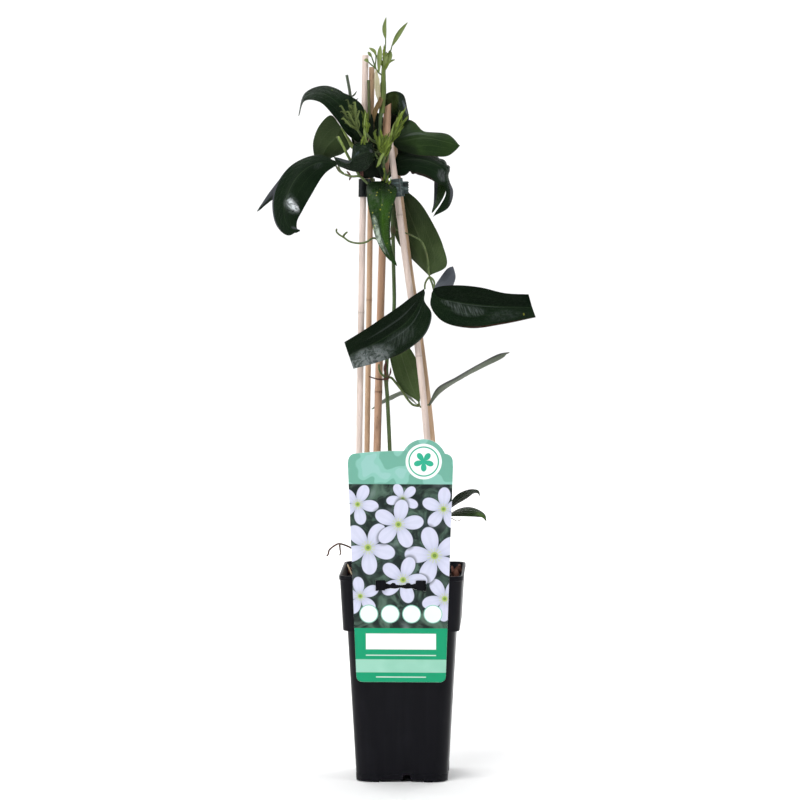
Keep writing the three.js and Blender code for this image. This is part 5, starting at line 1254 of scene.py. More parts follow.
def closed_blade(grid, upper, lower):
    """A closed ring for each row of a grid: the upper face is the grid moved by its normal times upper,
    and the lower face the grid moved back by lower. Both are arrays as large as the grid."""
    normal = unit(np.cross(np.gradient(grid, axis=1), np.gradient(grid, axis=0)))
    above, below = grid + normal * upper[..., None], grid - normal * lower[..., None]
    return np.concatenate([above, below[:, ::-1]], axis=1)


def blade_across(columns):
    """The coordinate across for such a ring: out along the upper face and back along the lower."""
    out = np.linspace(0, 1, columns)
    return np.concatenate([out, out[::-1], [0]])


def small_blade(points, half_width, steps=16, columns=7, fold=0.3, thick=0.28, wave=0.0):
    """A blade along a line. fold lifts its margins, as a share of its half width, and wave ripples them."""
    u = np.linspace(0, 1, steps)
    rib = line_at(points, u)
    along = unit(np.gradient(rib, axis=0))
    across = unit(np.cross(along, LOOKS_TO))
    reach = 0.12 + (half_width - 0.12) * np.sin(np.pi * np.minimum(1, u * 0.92 + 0.06)) ** 0.9
    v = np.linspace(-1, 1, columns)
    edge = 1 + wave * np.sin(u * 31)[:, None] * np.abs(v) ** 3
    grid = rib[:, None] + (reach[:, None] * v * edge)[..., None] * across[:, None]
    grid = grid + (fold * reach[:, None] * np.abs(v) ** 1.3)[..., None] * LOOKS_TO
    fullness = 0.4 + 0.6 * np.sin(np.pi * np.clip(u * 0.95 + 0.04, 0, 1))
    body = thick * (1 - 0.75 * v**2) * fullness[:, None]
    return closed_blade(grid, body, body)


def blade_kinds(columns, upper=0, lower=0):
    """Finish numbers for the columns of such a ring."""
    return np.array([upper] * columns + [lower] * columns)


print("a small blade has", small_blade(NODE_SCALES[0][1], 1.0).shape[0], "rings")

# %% [markdown]
# ## The grown pieces
# Now the lines become pieces. The main stem gathers its stalks, scales and sheaths in one mesh, since
# they have grown together, and each finish number picks one of its looks. Side shoot, dead twig,
# tendril and the two cut stems are pieces of their own.

# %% Stems
def bell(levels, height, width):
    """A swelling by height: a bell curve round each level."""
    return lambda z: sum(height * np.exp(-(((z - level) / width) ** 2)) for level in levels)


def add_blade(skin, points, half_width, finish, tone=0.5, **shape):
    """Adds a small blade to a skin."""
    rows = small_blade(points, half_width, **shape)
    skin.add(rows, blade_across(rows.shape[1] // 2), finish=finish, tone=tone)


def make_main_stem():
    stem = Skin()
    stem.add(tube(MAIN_STEM, 1.9, 1.5, sides=18, spacing=1.5, swell=bell(NODE_LEVELS, 0.7, 4), ribs=0.03))
    stem.add(tube(SECOND_STEM, 1.3, 1.1, sides=14, ribs=0.03))
    stem.add(tube(STOUT_TIP, 2.2, 2.3, sides=18, spacing=1.5, rounded=False, ribs=0.04), finish=5)
    for path in BLADE_STALKS:
        stem.add(tube(path, 1.0, 0.8, sides=12, spacing=1), finish=1)
    for path, wide in zip(BARE_STALKS, (0.65, 1.0, 1.1, 1.1, 1.0)):
        stem.add(tube(path, 1.1 if wide > 0.7 else 0.75, wide, sides=12, spacing=1.2), finish=1)
    for path in (CURLED_STALK, CURLED_STALK_FORK, NODE_STUB):
        stem.add(tube(path, 1.0, 0.8, sides=10, spacing=1), finish=1)
    for half_width, points in NODE_SCALES:
        add_blade(stem, points, half_width * 0.6, 2)
    add_blade(stem, DRY_SHEATH, 2.3, 4, wave=0.1)
    add_blade(stem, CREAM_SHEATH, 2.6, 3, wave=0.1)
    add_blade(stem, WITHERED_BUD, 1.7, 2, thick=1.1)
    looks = [STEM_GREEN, STALK_GREEN, DRY_RED, SHEATH_CREAM, SHEATH_BROWN, TIP_GREEN]
    stem.make("climbing_stem", ["main_stem"], "green_stem", looks)


make_main_stem()

low = Skin().add(tube(LOW_SHOOT, 1.5, 1.0, sides=14, ribs=0.03))
for path in LOW_SHOOT_STALKS:
    low.add(tube(path, 0.8, 0.6, sides=10, spacing=1))
low.add(tube(LOW_SHOOT_CURL, 0.5, 0.3, sides=8, spacing=1), finish=1)
low.make("side_shoot", ["low_shoot"], "green_stem", [STALK_GREEN, DRY_BROWN])

twig = Skin().add(tube(DEAD_TWIG, 1.0, 0.75, sides=10, spacing=1))
twig.add(tube(DEAD_TWIG_FORK, 0.8, 0.6, sides=8, spacing=0.8))
twig.make("dead_side_twig", ["dead_twig"], "dry_wood", [DRY_BROWN])
tendril = Skin().add(tube(DRY_TENDRIL, 0.9, 0.55, sides=8, spacing=0.8))
tendril.make("dried_tendril", ["dry_tendril"], "dry_wood", [DRY_RED])
stump = Skin().add(tube(CUT_STEM, 1.45, 1.3, sides=14, rounded=False, ribs=0.04))
stump.make("cut_back_stem", ["cut_stem"], "dry_wood", [CUT_OLIVE])
cut = Skin().add(tube(CUT_SHOOT, 1.7, 1.35, sides=12, rounded=False, ribs=0.04))
for path in CUT_SHOOT_SPINES:
    add_blade(cut, path, 0.8, 0)
cut.make("cut_back_shoot", ["cut_shoot"], "green_stem", [CUT_GREY])

# %% [markdown]
# ## Leaf blades
# The leaves are what the plant is known for: long, thick, leathery blades with a deep rib and two
# nerves that run from foot to tip, half way to the margin. Three smooth lines carry each blade: left
# margin, rib and right margin. Between them the section bends most beside the rib. The upper face is
# sunk along rib and nerves and puckered between the side veins, and the lower face stands out there, so
# the sheen breaks up as it does on the real leaf. The margin is thinner than the middle.

# %% Lines of the leaves
LEAVES = {
    "crown_leaf_left_top": blade("""
        -40.5 -14 571.5, -49 -20 578.5, -59.5 -24 593, -73 -26 607, -86.5 -23 608, -92 -19 594.5 /
        -39.5 -14 571.5, -45 -17 589.5, -56.5 -19 605.5, -72.5 -18 615, -87 -17 611.5, -92.3 -18 594.5 /
        -39 -14 571.5, -34.5 -14 601.5, -50.5 -10 614.5, -69.5 -8 621.5, -87 -10 615, -92.8 -17 595"""),
    "crown_leaf_left_mid": blade("""
        -55.5 0 585, -65 6 595, -75.5 9 585.5, -81 9 571, -80 8 558.5, -76.5 6 548 /
        -55 -1 584, -61 2 574.5, -68.5 4 566.5, -73 5 557.5, -75.5 5 551.5, -76.5 5 547 /
        -54.5 0 583.5, -47.3 6 567.5, -55 9 560.5, -65 10 556.5, -72 8 549.5, -76 6 546.5"""),
    "crown_leaf_left_low": blade("""
        -59.5 -14 554.5, -75.5 -8 560, -99.5 -10 550.5, -114.5 -20 527, -112 -34 499.5, -101 -42 489.5,
        -90 -45 493 /
        -58.5 -14 553, -75.5 -14 553, -92 -20 542.5, -102 -30 524, -104 -40 507.5, -98.5 -45 496,
        -89.5 -46 493.5 /
        -58.5 -14 551, -69 -16 543.5, -81 -22 524.5, -88.5 -32 510.5, -92.5 -41 501.5, -92 -45 495.5,
        -89 -46 494.5"""),
    "crown_leaf_left_far": blade("""
        -60.5 -6 552.5, -85.5 4 556.5, -103.5 8 545.5, -117.5 4 529.5, -131 -2 509.5 /
        -60.5 -6 551.5, -84.5 2 549, -103 4 537, -117.5 2 524.5, -131 -2 509 /
        -60.5 -6 551, -83.5 4 539, -101 6 527.5, -116.5 4 520, -130.5 -2 508.5"""),
    "crown_leaf_centre": blade("""
        -24.5 -20 561.5, -27 -20 571, -36.5 -24 572, -43 -29 569, -44 -33 562.5, -45.5 -34 556,
        -56 -34 558, -60.5 -34 559 /
        -24.5 -20 561, -28.5 -26 563.5, -34 -32 562.5, -38.5 -36 560.5, -42 -37.5 558, -46 -38 553,
        -55 -36 555, -60.5 -35 559 /
        -24.5 -20 560, -26.5 -22 553, -33 -28 546.5, -39.5 -32 545.5, -45.5 -34 546.5, -52 -35 549,
        -57 -35 551.5, -60 -34.5 558.5"""),
    "crown_leaf_right_top": blade("""
        -15.5 8 589, -16.5 5 601.5, -15.5 -1 613.5, -7.5 -3 616.5, 0 1 613.5, 3.5 4 601.5, 5.5 2 591.5 /
        -15 7 589, -13.5 8 598, -10.5 6 606.5, -6.5 2 610.5, -3 -2 605.5, 0.5 -3 597.5, 5 1 590.5 /
        -14 6 589, -11 9 591.5, -9.5 9 595, -7 5 595.5, -4.5 -1 591.5, -1 -4 588.5, 4.5 0 589.5"""),
    "crown_leaf_right_mid": blade("""
        -10 -1.5 571.5, -6 1 584, 4.5 4 591, 10.5 3 588.5, 17 0 581.5, 40.5 -3 578, 51 -6 568 /
        -10 -1.5 571, -1.5 -3 572, 7.5 -5 573.5, 16 -7 575, 25 -8 574.5, 40.5 -8 571, 51 -7 568 /
        -10 -1.5 570.5, -4.5 -3 565, 5.5 -6 561.5, 15 -8 559.5, 24 -9 559, 40 -9 559, 51 -7 567.5"""),
    "crown_leaf_right_low": blade("""
        -8.5 -1.5 551, -3.5 4 562, 11.5 6 566.5, 29 5 561, 42 2 549.5, 40.5 -3 541.5, 42 -7 535.5,
        45 -10 527, 41 -14 513.5, 27.5 -17 505.5 /
        -8.5 -1.5 550, -1.5 -2 554.5, 12 -5 556, 26 -8 553, 36.5 -11 546.5, 37.5 -13 540, 39.5 -15 534,
        41 -17 525, 37.5 -18 514.5, 27.5 -17.5 505.5 /
        -8.5 -1.5 549.5, -4 -2 541.5, 6.5 -4 542, 16 -7 541.5, 26 -10 537.5, 32.5 -13 534,
        37.5 -16 532.5, 38.5 -18 525, 34 -19 516, 27 -18 506"""),
    "crown_leaf_right_inner": blade("""
        22 8 549.5, 27.5 10 544, 27.5 8 534.5, 27.5 4 524, 27 0 515, 25.5 -4 509 /
        22.5 8 549.5, 32.5 12 543.5, 33 10 533.5, 32 5 524, 29.7 0 515.5, 25.8 -4 508 /
        23 8 549.5, 37 8 542.5, 38.5 6 532, 37 3 524.5, 32.2 0 515.5, 26 -4 507.5"""),
    "crown_leaf_front": blade("""
        -17.5 -16 537, -30.5 -22 534.5, -31 -28 522, -28 -31 506.5, -22.5 -30 485, -14 -28 470,
        -4.5 -26 461.5 /
        -16.5 -16 538, -18 -24 530, -18 -32 518, -17 -36 504, -15 -34 485, -10.5 -30 472.5,
        -4.5 -26 461.5 /
        -15.5 -16 537, -5.5 -20 531.5, -5 -26 525, -9 -31 510, -10.5 -31 492, -8.5 -29 475, -4 -26 461.5"""),
    "crown_leaf_back_upper": blade("""
        -23 3 552, -26.5 10.5 555.5, -32 13.5 560, -38 14.5 570, -39 15 582, -36 14 594, -32 12 603 /
        -22 3 552, -22 8.5 555.5, -22.5 11.5 560, -23 13 570, -25 13.5 582, -28 13 593, -31 12 603 /
        -21 3 552, -17.5 8 555.5, -13 11 560, -8 13 569, -9 14 580, -17 13 592, -30 12 602"""),
    "crown_leaf_back_lower": blade("""
        -19.5 6.5 550, -24 7.5 547.5, -25 8 544, -22.5 8 540.5, -18 7.5 537.5 /
        -18.5 6.5 550, -18.5 8 547, -18.5 9 544, -18 9 541, -17 7.5 537.5 /
        -17.5 6.5 550, -12.5 7 547.5, -10.5 7.5 544, -12 8 540.5, -16 7.5 537.5"""),
    "upper_leaf_back": blade("""
        23.5 -14 452.5, 8.5 14 465, -3.5 18 477.5, -11.5 22 499, -11.5 22 516, -3.5 18 528.5 /
        24 -15 452.5, 21 -1 469.5, 15 9 484, 8.5 14 499.5, 2.5 16 514.5, -2 17 529.5 /
        24.5 -16 453, 39 -14 461, 36 -6 478.5, 26 3 499.5, 14 9 517.5, -0.5 15 529.5"""),
    "upper_leaf_front": blade("""
        19.5 -26 441.5, 15.5 -28 439, 8.5 -30.5 434.5, -3.5 -33 425.5, -17.5 -34.5 416, -33 -35.5 405.5,
        -51 -36 394.5 /
        20 -26 439.5, 17.5 -28 433, 13.5 -29.5 424.5, 4.5 -31.5 412.5, -9.5 -33.5 402, -27 -35 392,
        -47 -36 382.5 /
        20.5 -26 438, 19.8 -26 431, 26.3 -26 419.5, 21 -26 401.5, 2 -27.5 385.5, -19 -30 377,
        -43 -33 370.5""",
        square_end=True),
    "upper_leaf_right": blade("""
        27.5 -26 441.5, 33.5 -23.5 443.5, 49 -21.5 444.5, 70 -20 442.5, 91.5 -20 437.5, 112.5 -21 436.5 /
        27.5 -26 439.5, 32 -26 434, 48 -26 430, 70 -26 427, 92.5 -25 425.5, 115.5 -24 425 /
        26.3 -26 438, 25.5 -28 426.5, 36 -31 413, 61 -33 407, 90 -31 410.5, 119 -28 416.5""",
        square_end=True),
    "upper_leaf_small": blade("""
        27 -14 440.5, 32.5 -6 449, 40 0 458.5, 44 3 460 /
        28 -14 440, 37 -8 445.5, 43 -2 452.5, 44.5 3 460 /
        29 -14 440, 41.5 -8 439.5, 47 -2 450, 45 3 459.5"""),
    "lower_leaf_back": blade("""
        14 -12 339.5, -2.5 -6 351.5, -10 -2 370, -12 0 385, -6.5 0 396.5 /
        14.5 -12 339, 7.5 -9 355, 2 -6 371, -2.5 -3 385, -6 0 397 /
        15.5 -12 340, 16.5 -10 360.5, 12.5 -8 376.5, 3.5 -4 390.5, -5.5 0 397.5"""),
    "lower_leaf_right": blade("""
        23.5 -9 338, 31 4 351, 46.5 10 359.5, 67 8 371.5, 86 3 381.5, 95 -2 383.5 /
        23.5 -10 337, 33.5 -8 350, 49.5 -8 359, 69 -7 371.5, 87 -5 380, 95.5 -3 383.5 /
        24 -11 335.5, 34.5 -22 348.5, 52.5 -26 361, 73 -22 371.5, 88.5 -12 378.5, 95 -4 383"""),
    "lower_leaf_left": blade("""
        12.3 -9 337.8, 0.5 5 347.5, -10 10 344, -20 15 338, -28.5 14 331 /
        12.5 -9.6 337.4, 1.5 -2 345.5, -10 4 341, -19.5 10 336, -29 13 330.5 /
        12.5 -10.2 337, 0 -7.5 345, -10 -0.5 340.5, -19 7.5 336, -28.8 12 330"""),
    "low_leaf_upper": blade("""
        39.5 -30 244.5, 48 -26 256.5, 56.5 -28 261.5, 63.5 -31 263, 68.5 -34 262, 70 -35 257.5 /
        39.5 -30 243.5, 49.5 -34 252.5, 57.5 -36 259, 63.5 -37 261.5, 68 -37 261, 70 -36 257.5 /
        39.5 -30 243, 50.5 -42 251.5, 58.5 -45 256.5, 64 -44 260.5, 67.5 -40 260.5, 70 -37 257.5"""),
    "low_leaf_lower": blade("""
        40.5 -30 239, 49 -24 244, 59 -26 246.5, 69 -32 244.5, 74.5 -36 240.5, 75.5 -38 235.5 /
        40.5 -30 239, 50 -36 242, 60 -40 243.5, 68 -42 242.5, 73 -41 239.5, 75.5 -39 235.5 /
        40.5 -30 238.5, 50.5 -42 240, 61 -48 240.5, 68.5 -47 240, 72 -43 239, 75 -39 235.5"""),
}

print(len(LEAVES), "blades, and", sum("square_end" in leaf for leaf in LEAVES.values()), "end square")

# %% [markdown]
# ## Which way a leaf faces
# For each blade one rough direction is enough to tell which of its faces is the upper one. A blade that
# isn't in the first table looks straight to the front. One number says how puckered a blade is. A torn
# margin is a narrow bell by which it draws in towards the rib: its side (0 left, 1 right), its place
# along, its depth as a share, and its width.

# %% Leaf directions
FRONT = (0, -1, 0)
UPPER_FACE = {
    "crown_leaf_left_top": (0, -0.7, 0.7), "crown_leaf_left_mid": (0, 1, 0),
    "crown_leaf_left_low": (0, -1, 0.5), "crown_leaf_left_far": (0, -1, 0.3),
    "crown_leaf_centre": (0, -0.5, 1), "crown_leaf_right_top": (0, -0.3, 1),
    "crown_leaf_right_mid": (0, -1, 0.6), "crown_leaf_right_low": (0, -0.5, 1),
    "upper_leaf_back": (0, 1, 0), "upper_leaf_front": (0, -1, 0.3),
    "upper_leaf_right": (0, -1, 0.3), "upper_leaf_small": (0, -1, 0.3),
    "lower_leaf_back": (0, 1, 0), "lower_leaf_right": (0, 0, 1), "lower_leaf_left": (0, 0, 1),
    "low_leaf_upper": (0, -0.3, 1), "low_leaf_lower": (0, -0.5, 1),
}
TORN = {
    "crown_leaf_right_low": [
        (0, 0.36, 0.30, 0.018), (0, 0.42, 0.26, 0.014), (0, 0.47, 0.15, 0.012),
        (1, 0.21, 0.28, 0.016), (1, 0.27, 0.1, 0.02)],
    "crown_leaf_left_low": [(0, 0.93, 0.3, 0.02)],
    "crown_leaf_left_top": [(1, 0.42, 0.06, 0.02)],
    "lower_leaf_right": [(1, 0.93, 0.7, 0.025)],
}
USUAL_PUCKER = 0.7
PUCKER = {
    "upper_leaf_front": 1.7, "upper_leaf_right": 1.2, "crown_leaf_left_low": 1.0, "crown_leaf_front": 1.3}


def leaf_grid(lines, rows=72, half=12):
    """Points across a blade: rib + v times half the width + |v|^1.6 times the lift of the margins'
    middle over the rib, for v from -1 to 1. Towards a pointed tip the margins close on the rib."""
    square = lines.get("square_end", False)
    u = np.linspace(0, 1, rows) ** 0.93
    left, rib, right = (line_at(lines[key], u) for key in ("left", "rib", "right"))
    if not square:
        close = np.clip((u - 0.965) / 0.035, 0, 1)[:, None] ** 1.5 * 0.85
        left, right = left + (rib - left) * close, right + (rib - right) * close
    for side, place, depth, width in lines.get("torn", []):
        draw = (depth * np.exp(-np.abs((u - place) / width) ** 1.3))[:, None]
        left = left + (rib - left) * draw * (side == 0)
        right = right + (rib - right) * draw * (side == 1)
    v = np.linspace(-1, 1, 2 * half + 1)
    half_width, lift = (right - left) / 2, (left + right) / 2 - rib
    lifted = (np.abs(v) ** 1.6)[None, :, None] * lift[:, None]
    return rib[:, None] + v[None, :, None] * half_width[:, None] + lifted, u, v


def leaf_relief(grid, u, v, pucker):
    """Heights in millimetres. Rib and nerves are narrow bells across the blade. Side veins are a sine of
    place along minus distance from the rib, so they leave it at a slant, and soft noise buckles the rest."""
    width = np.linalg.norm(grid[:, -1] - grid[:, 0], axis=1)[:, None]
    steps = np.linalg.norm(np.diff(grid[:, len(v) // 2], axis=0), axis=1)
    run = np.concatenate([[0], np.cumsum(steps)])[:, None]
    out = np.abs(v)[None]
    off = out * width / 2
    small = np.clip(width / 22, 0.15, 1)
    rib = np.exp(-((off / 0.9) ** 2)) * small
    inner_nerve = np.exp(-(((out - 0.45) * width / 2 / 0.8) ** 2))
    outer_nerve = 0.5 * np.exp(-(((out - 0.75) * width / 2 / 0.7) ** 2))
    nerve = (inner_nerve + outer_nerve) * small
    slant = np.sin((run - off * 1.3) * 2 * np.pi / 6.5)
    between = np.clip(np.sin(np.pi * np.clip(out / 0.95, 0, 1)), 0, 1) * small
    buckle = value_noise(grid, 7.0, 3) * 0.35 + value_noise(grid, 3.4, 4) * 0.12
    swell = pucker * (0.16 * slant * between + buckle * between * 0.6)
    fade = np.clip((1 - u) / 0.08, 0, 1)[:, None]
    upper = (swell - 0.34 * rib - 0.17 * nerve) * fade
    lower = (-swell + 0.55 * rib + 0.16 * nerve) * fade
    return upper, lower


def leaf_rows(name, lines, rows=72, half=12):
    """The closed rings of a blade, and the coordinate across for them: 0 is always the left margin."""
    grid, u, v = leaf_grid({**lines, "torn": TORN.get(name, [])}, rows, half)
    normal = np.cross(np.gradient(grid, axis=1), np.gradient(grid, axis=0)).reshape(-1, 3).sum(0)
    across = blade_across(len(v))
    if normal @ np.array(UPPER_FACE.get(name, FRONT)) < 0:
        grid, across = grid[:, ::-1], 1 - across
    upper, lower = leaf_relief(grid, u, v, PUCKER.get(name, USUAL_PUCKER))
    body = 0.30 * (1 - 0.62 * v**4)[None] * np.ones_like(upper)
    return closed_blade(grid, body + upper, body + lower), across


print(sum(map(len, TORN.values())), "tears in", len(TORN), "blades")


# %% [markdown]
# ## Waxy leaf finish
# The upper face is nearly black green and waxy: most of what is seen is the room's reflection, broken by
# veins. So the base colour stays dark and plain, and the detail goes into roughness and relief: a fine net of
# veins from Voronoi cells, streaks along the blade, and a paler rib. Over that, marks paint sheen and shade
# into the colour of some blades, as the next part says. The lower face has the same veins on a dull light
# green. The coordinate across is 0.5 on the rib and 0 or 1 at the margins.

# %% Leaf finishes
FULL_TURN = 6.2832
# SHEEN_GREY is the colour of painted sheen. The red of the margins and the yellow of the specks are the
# leaf's own.
SHEEN_GREY, MARGIN_RED, SPECK_YELLOW = (0.26, 0.29, 0.29), (0.045, 0.016, 0.02), (0.36, 0.38, 0.04)


def lay_mark_or_sheen(finish, colour, across, along, mark_or_sheen):
    """Lays one mark over a colour: an oval with a soft rim, broken up by slanted streaks or by blisters. Most
    marks are painted sheen, in SHEEN_GREY unless they are tinted.
    """
    a, b, wide, long, strength, kind, *tint = mark_or_sheen
    dx, dy = (across - a) / wide, (along - b) / long
    mask = (dx * dx + dy * dy).rise(1.0, 0.15) * strength
    if kind == "streaky_sheen":
        streaks = {0: along * 60 - across * 20, 1: across * 3 + along * 3}
        slanted = finish.node("ShaderNodeCombineXYZ", {}, streaks)
        mask = mask * (finish.noise(slanted, 1, 4, 0.65, 0.4).rise(0.4, 0.75) * 0.9 + 0.1)
    if kind == "blistered_sheen":
        place = finish.place()
        blister = finish.noise(place, 200, 4, 0.6, 1.0).rise(0.42, 0.6)
        mask = mask * (blister * 0.7 + finish.noise(place, 520, 2).rise(0.3, 0.7) * 0.12 + 0.2).least(1)
    return finish.mix(mask, colour, tint[0] if tint else SHEEN_GREY)


def veins(off, turns, sharp):
    """The nerves beside the rib, and the side veins: they lie where the sine of the turns is near 1, and
    fade out at rib and margin. off is the distance from the rib, 0.5 at the margin."""
    nerve = (off - 0.225).abs().rise(0.014, 0.0) + (off - 0.375).abs().rise(0.01, 0.0) * 0.5
    side = (turns * FULL_TURN).wave().rise(sharp, 1.0) * off.rise(0.49, 0.4) * off.rise(0.0, 0.04)
    return nerve, side


def leaf_upper(
        name, deep, fresh, rib_green, speckle=0.0, gloss=0.26, shine=0.14, sides=(0, 0), foot=0.0, marks_and_sheen=()):
    """sides paints shade on the left and the right half, and foot paints shade on the blade near its stalk.
    Each mark, most of them painted sheen, colours a place.
    """
    finish = Finish(name, IOR=1.45, Specular_IOR_Level=shine)
    across, along = finish.across_along()
    place = finish.place()
    off = (across - 0.5).abs()
    blotch, mottle = finish.noise(place, 42, 3, 0.5), finish.noise(place, 330, 4, 0.6)
    net = finish.cells(place, 560, "DISTANCE_TO_EDGE").rise(0.10, 0.0)
    rib = off.rise(0.02, 0.004)
    nerve, side = veins(off, along * 26 - off * 22, 0.8)
    stretched = finish.node("ShaderNodeCombineXYZ", {}, {0: across * 34, 1: along * 2.5})
    lengthwise = finish.noise(stretched, 1, 3, 0.6)
    colour = finish.mix(blotch.rise(0.3, 0.75) * 0.6 + lengthwise.rise(0.45, 0.75) * 0.3, deep, fresh)
    colour = finish.mix(net * 0.16 + side * 0.14 + nerve * 0.22, colour, rib_green)
    colour = finish.mix(rib * 0.5, colour, rib_green)
    # Painted shade: the half of the blade that turns from the light, and its foot near the stalk, are mixed
    # towards a darker green.
    half = across.rise(0.47, 0.53)
    shade = (1 - half) * sides[0] + half * sides[1] + along.rise(0.32, 0.05) * foot
    colour = finish.mix(shade.least(1), colour, scaled(deep, 0.35))
    colour = finish.mix(off.rise(0.485, 0.5) * 0.5, colour, MARGIN_RED)
    specks = finish.cells(place, 260).rise(0.26, 0.12) * finish.noise(place, 60, 2).rise(0.42, 0.54)
    specks = specks * (along - 0.45).abs().rise(0.34, 0.16)
    colour = finish.mix(specks * speckle, colour, SPECK_YELLOW)
    for mark_or_sheen in marks_and_sheen:
        colour = lay_mark_or_sheen(finish, colour, across, along, mark_or_sheen)
    dust = finish.noise(place, 150, 5, 0.7).rise(0.55, 0.8)
    finish.relief(mottle * 0.35 - net * 0.5 - side * 0.5 - nerve * 0.5, 0.00016, 0.7)
    roughness = mottle * 0.06 + lengthwise * 0.08 + dust * 0.12 + net * 0.04 + (gloss - 0.07)
    return finish.wear(Base_Color=colour, Roughness=roughness)


def leaf_lower(
        name, shade=0.0, dark_edge=0.0, pale=(0.052, 0.082, 0.026), green=(0.034, 0.058, 0.017),
        vein=(0.085, 0.115, 0.05)):
    """shade darkens the whole face, most towards its tip, and dark_edge the left margin."""
    finish = Finish(name, IOR=1.4, Specular_IOR_Level=0.14)
    across, along = finish.across_along()
    place = finish.place()
    off = (across - 0.5).abs()
    blotch, mottle = finish.noise(place, 50, 3, 0.5), finish.noise(place, 400, 4, 0.6)
    net = finish.cells(place, 480, "DISTANCE_TO_EDGE").rise(0.12, 0.0)
    rib = off.rise(0.022, 0.008)
    nerve, side = veins(off, along * 22 - off * 18, 0.82)
    colour = finish.mix(blotch.rise(0.3, 0.7), green, pale)
    colour = finish.mix(net * 0.22 + side * 0.25 + nerve * 0.35, colour, vein)
    colour = finish.mix(rib * 0.75, colour, vein)
    spots = finish.cells(place, 90).rise(0.09, 0.05) * finish.noise(place, 30, 2).rise(0.55, 0.65)
    colour = finish.mix(spots * 0.7, colour, (0.05, 0.04, 0.03))
    dark = along.rise(0.2, 0.8) * shade * 0.6 + shade * 0.4 + across.rise(0.34, 0.24) * dark_edge
    colour = finish.mix(dark.least(1), colour, (0.008, 0.014, 0.006))
    finish.relief(mottle * 0.3 + net * 0.6 + side * 0.5 + nerve * 0.7 + rib, 0.0002, 0.7)
    return finish.wear(Base_Color=colour, Roughness=mottle * 0.15 + 0.5)


DARK = ((0.0028, 0.0085, 0.0034), (0.0075, 0.017, 0.0065), (0.024, 0.044, 0.017))
MID = ((0.007, 0.018, 0.005), (0.022, 0.046, 0.010), (0.05, 0.08, 0.028))
BRIGHT = ((0.0045, 0.018, 0.002), (0.015, 0.052, 0.004), (0.04, 0.095, 0.012))
# GREY_SHEEN is painted glare: the grey-blue sheen of a small leaf that catches the light.
GREY_SHEEN = ((0.070, 0.080, 0.095), (0.11, 0.12, 0.14), (0.12, 0.13, 0.15))
DULL = ((0.10, 0.125, 0.085), (0.15, 0.18, 0.13), (0.17, 0.20, 0.14))
# VIOLET_SHEEN is painted sheen, a violet-grey highlight.
VIOLET_SHEEN = (0.13, 0.13, 0.16)
print("the usual leaf is", DARK[0], "to", DARK[1])
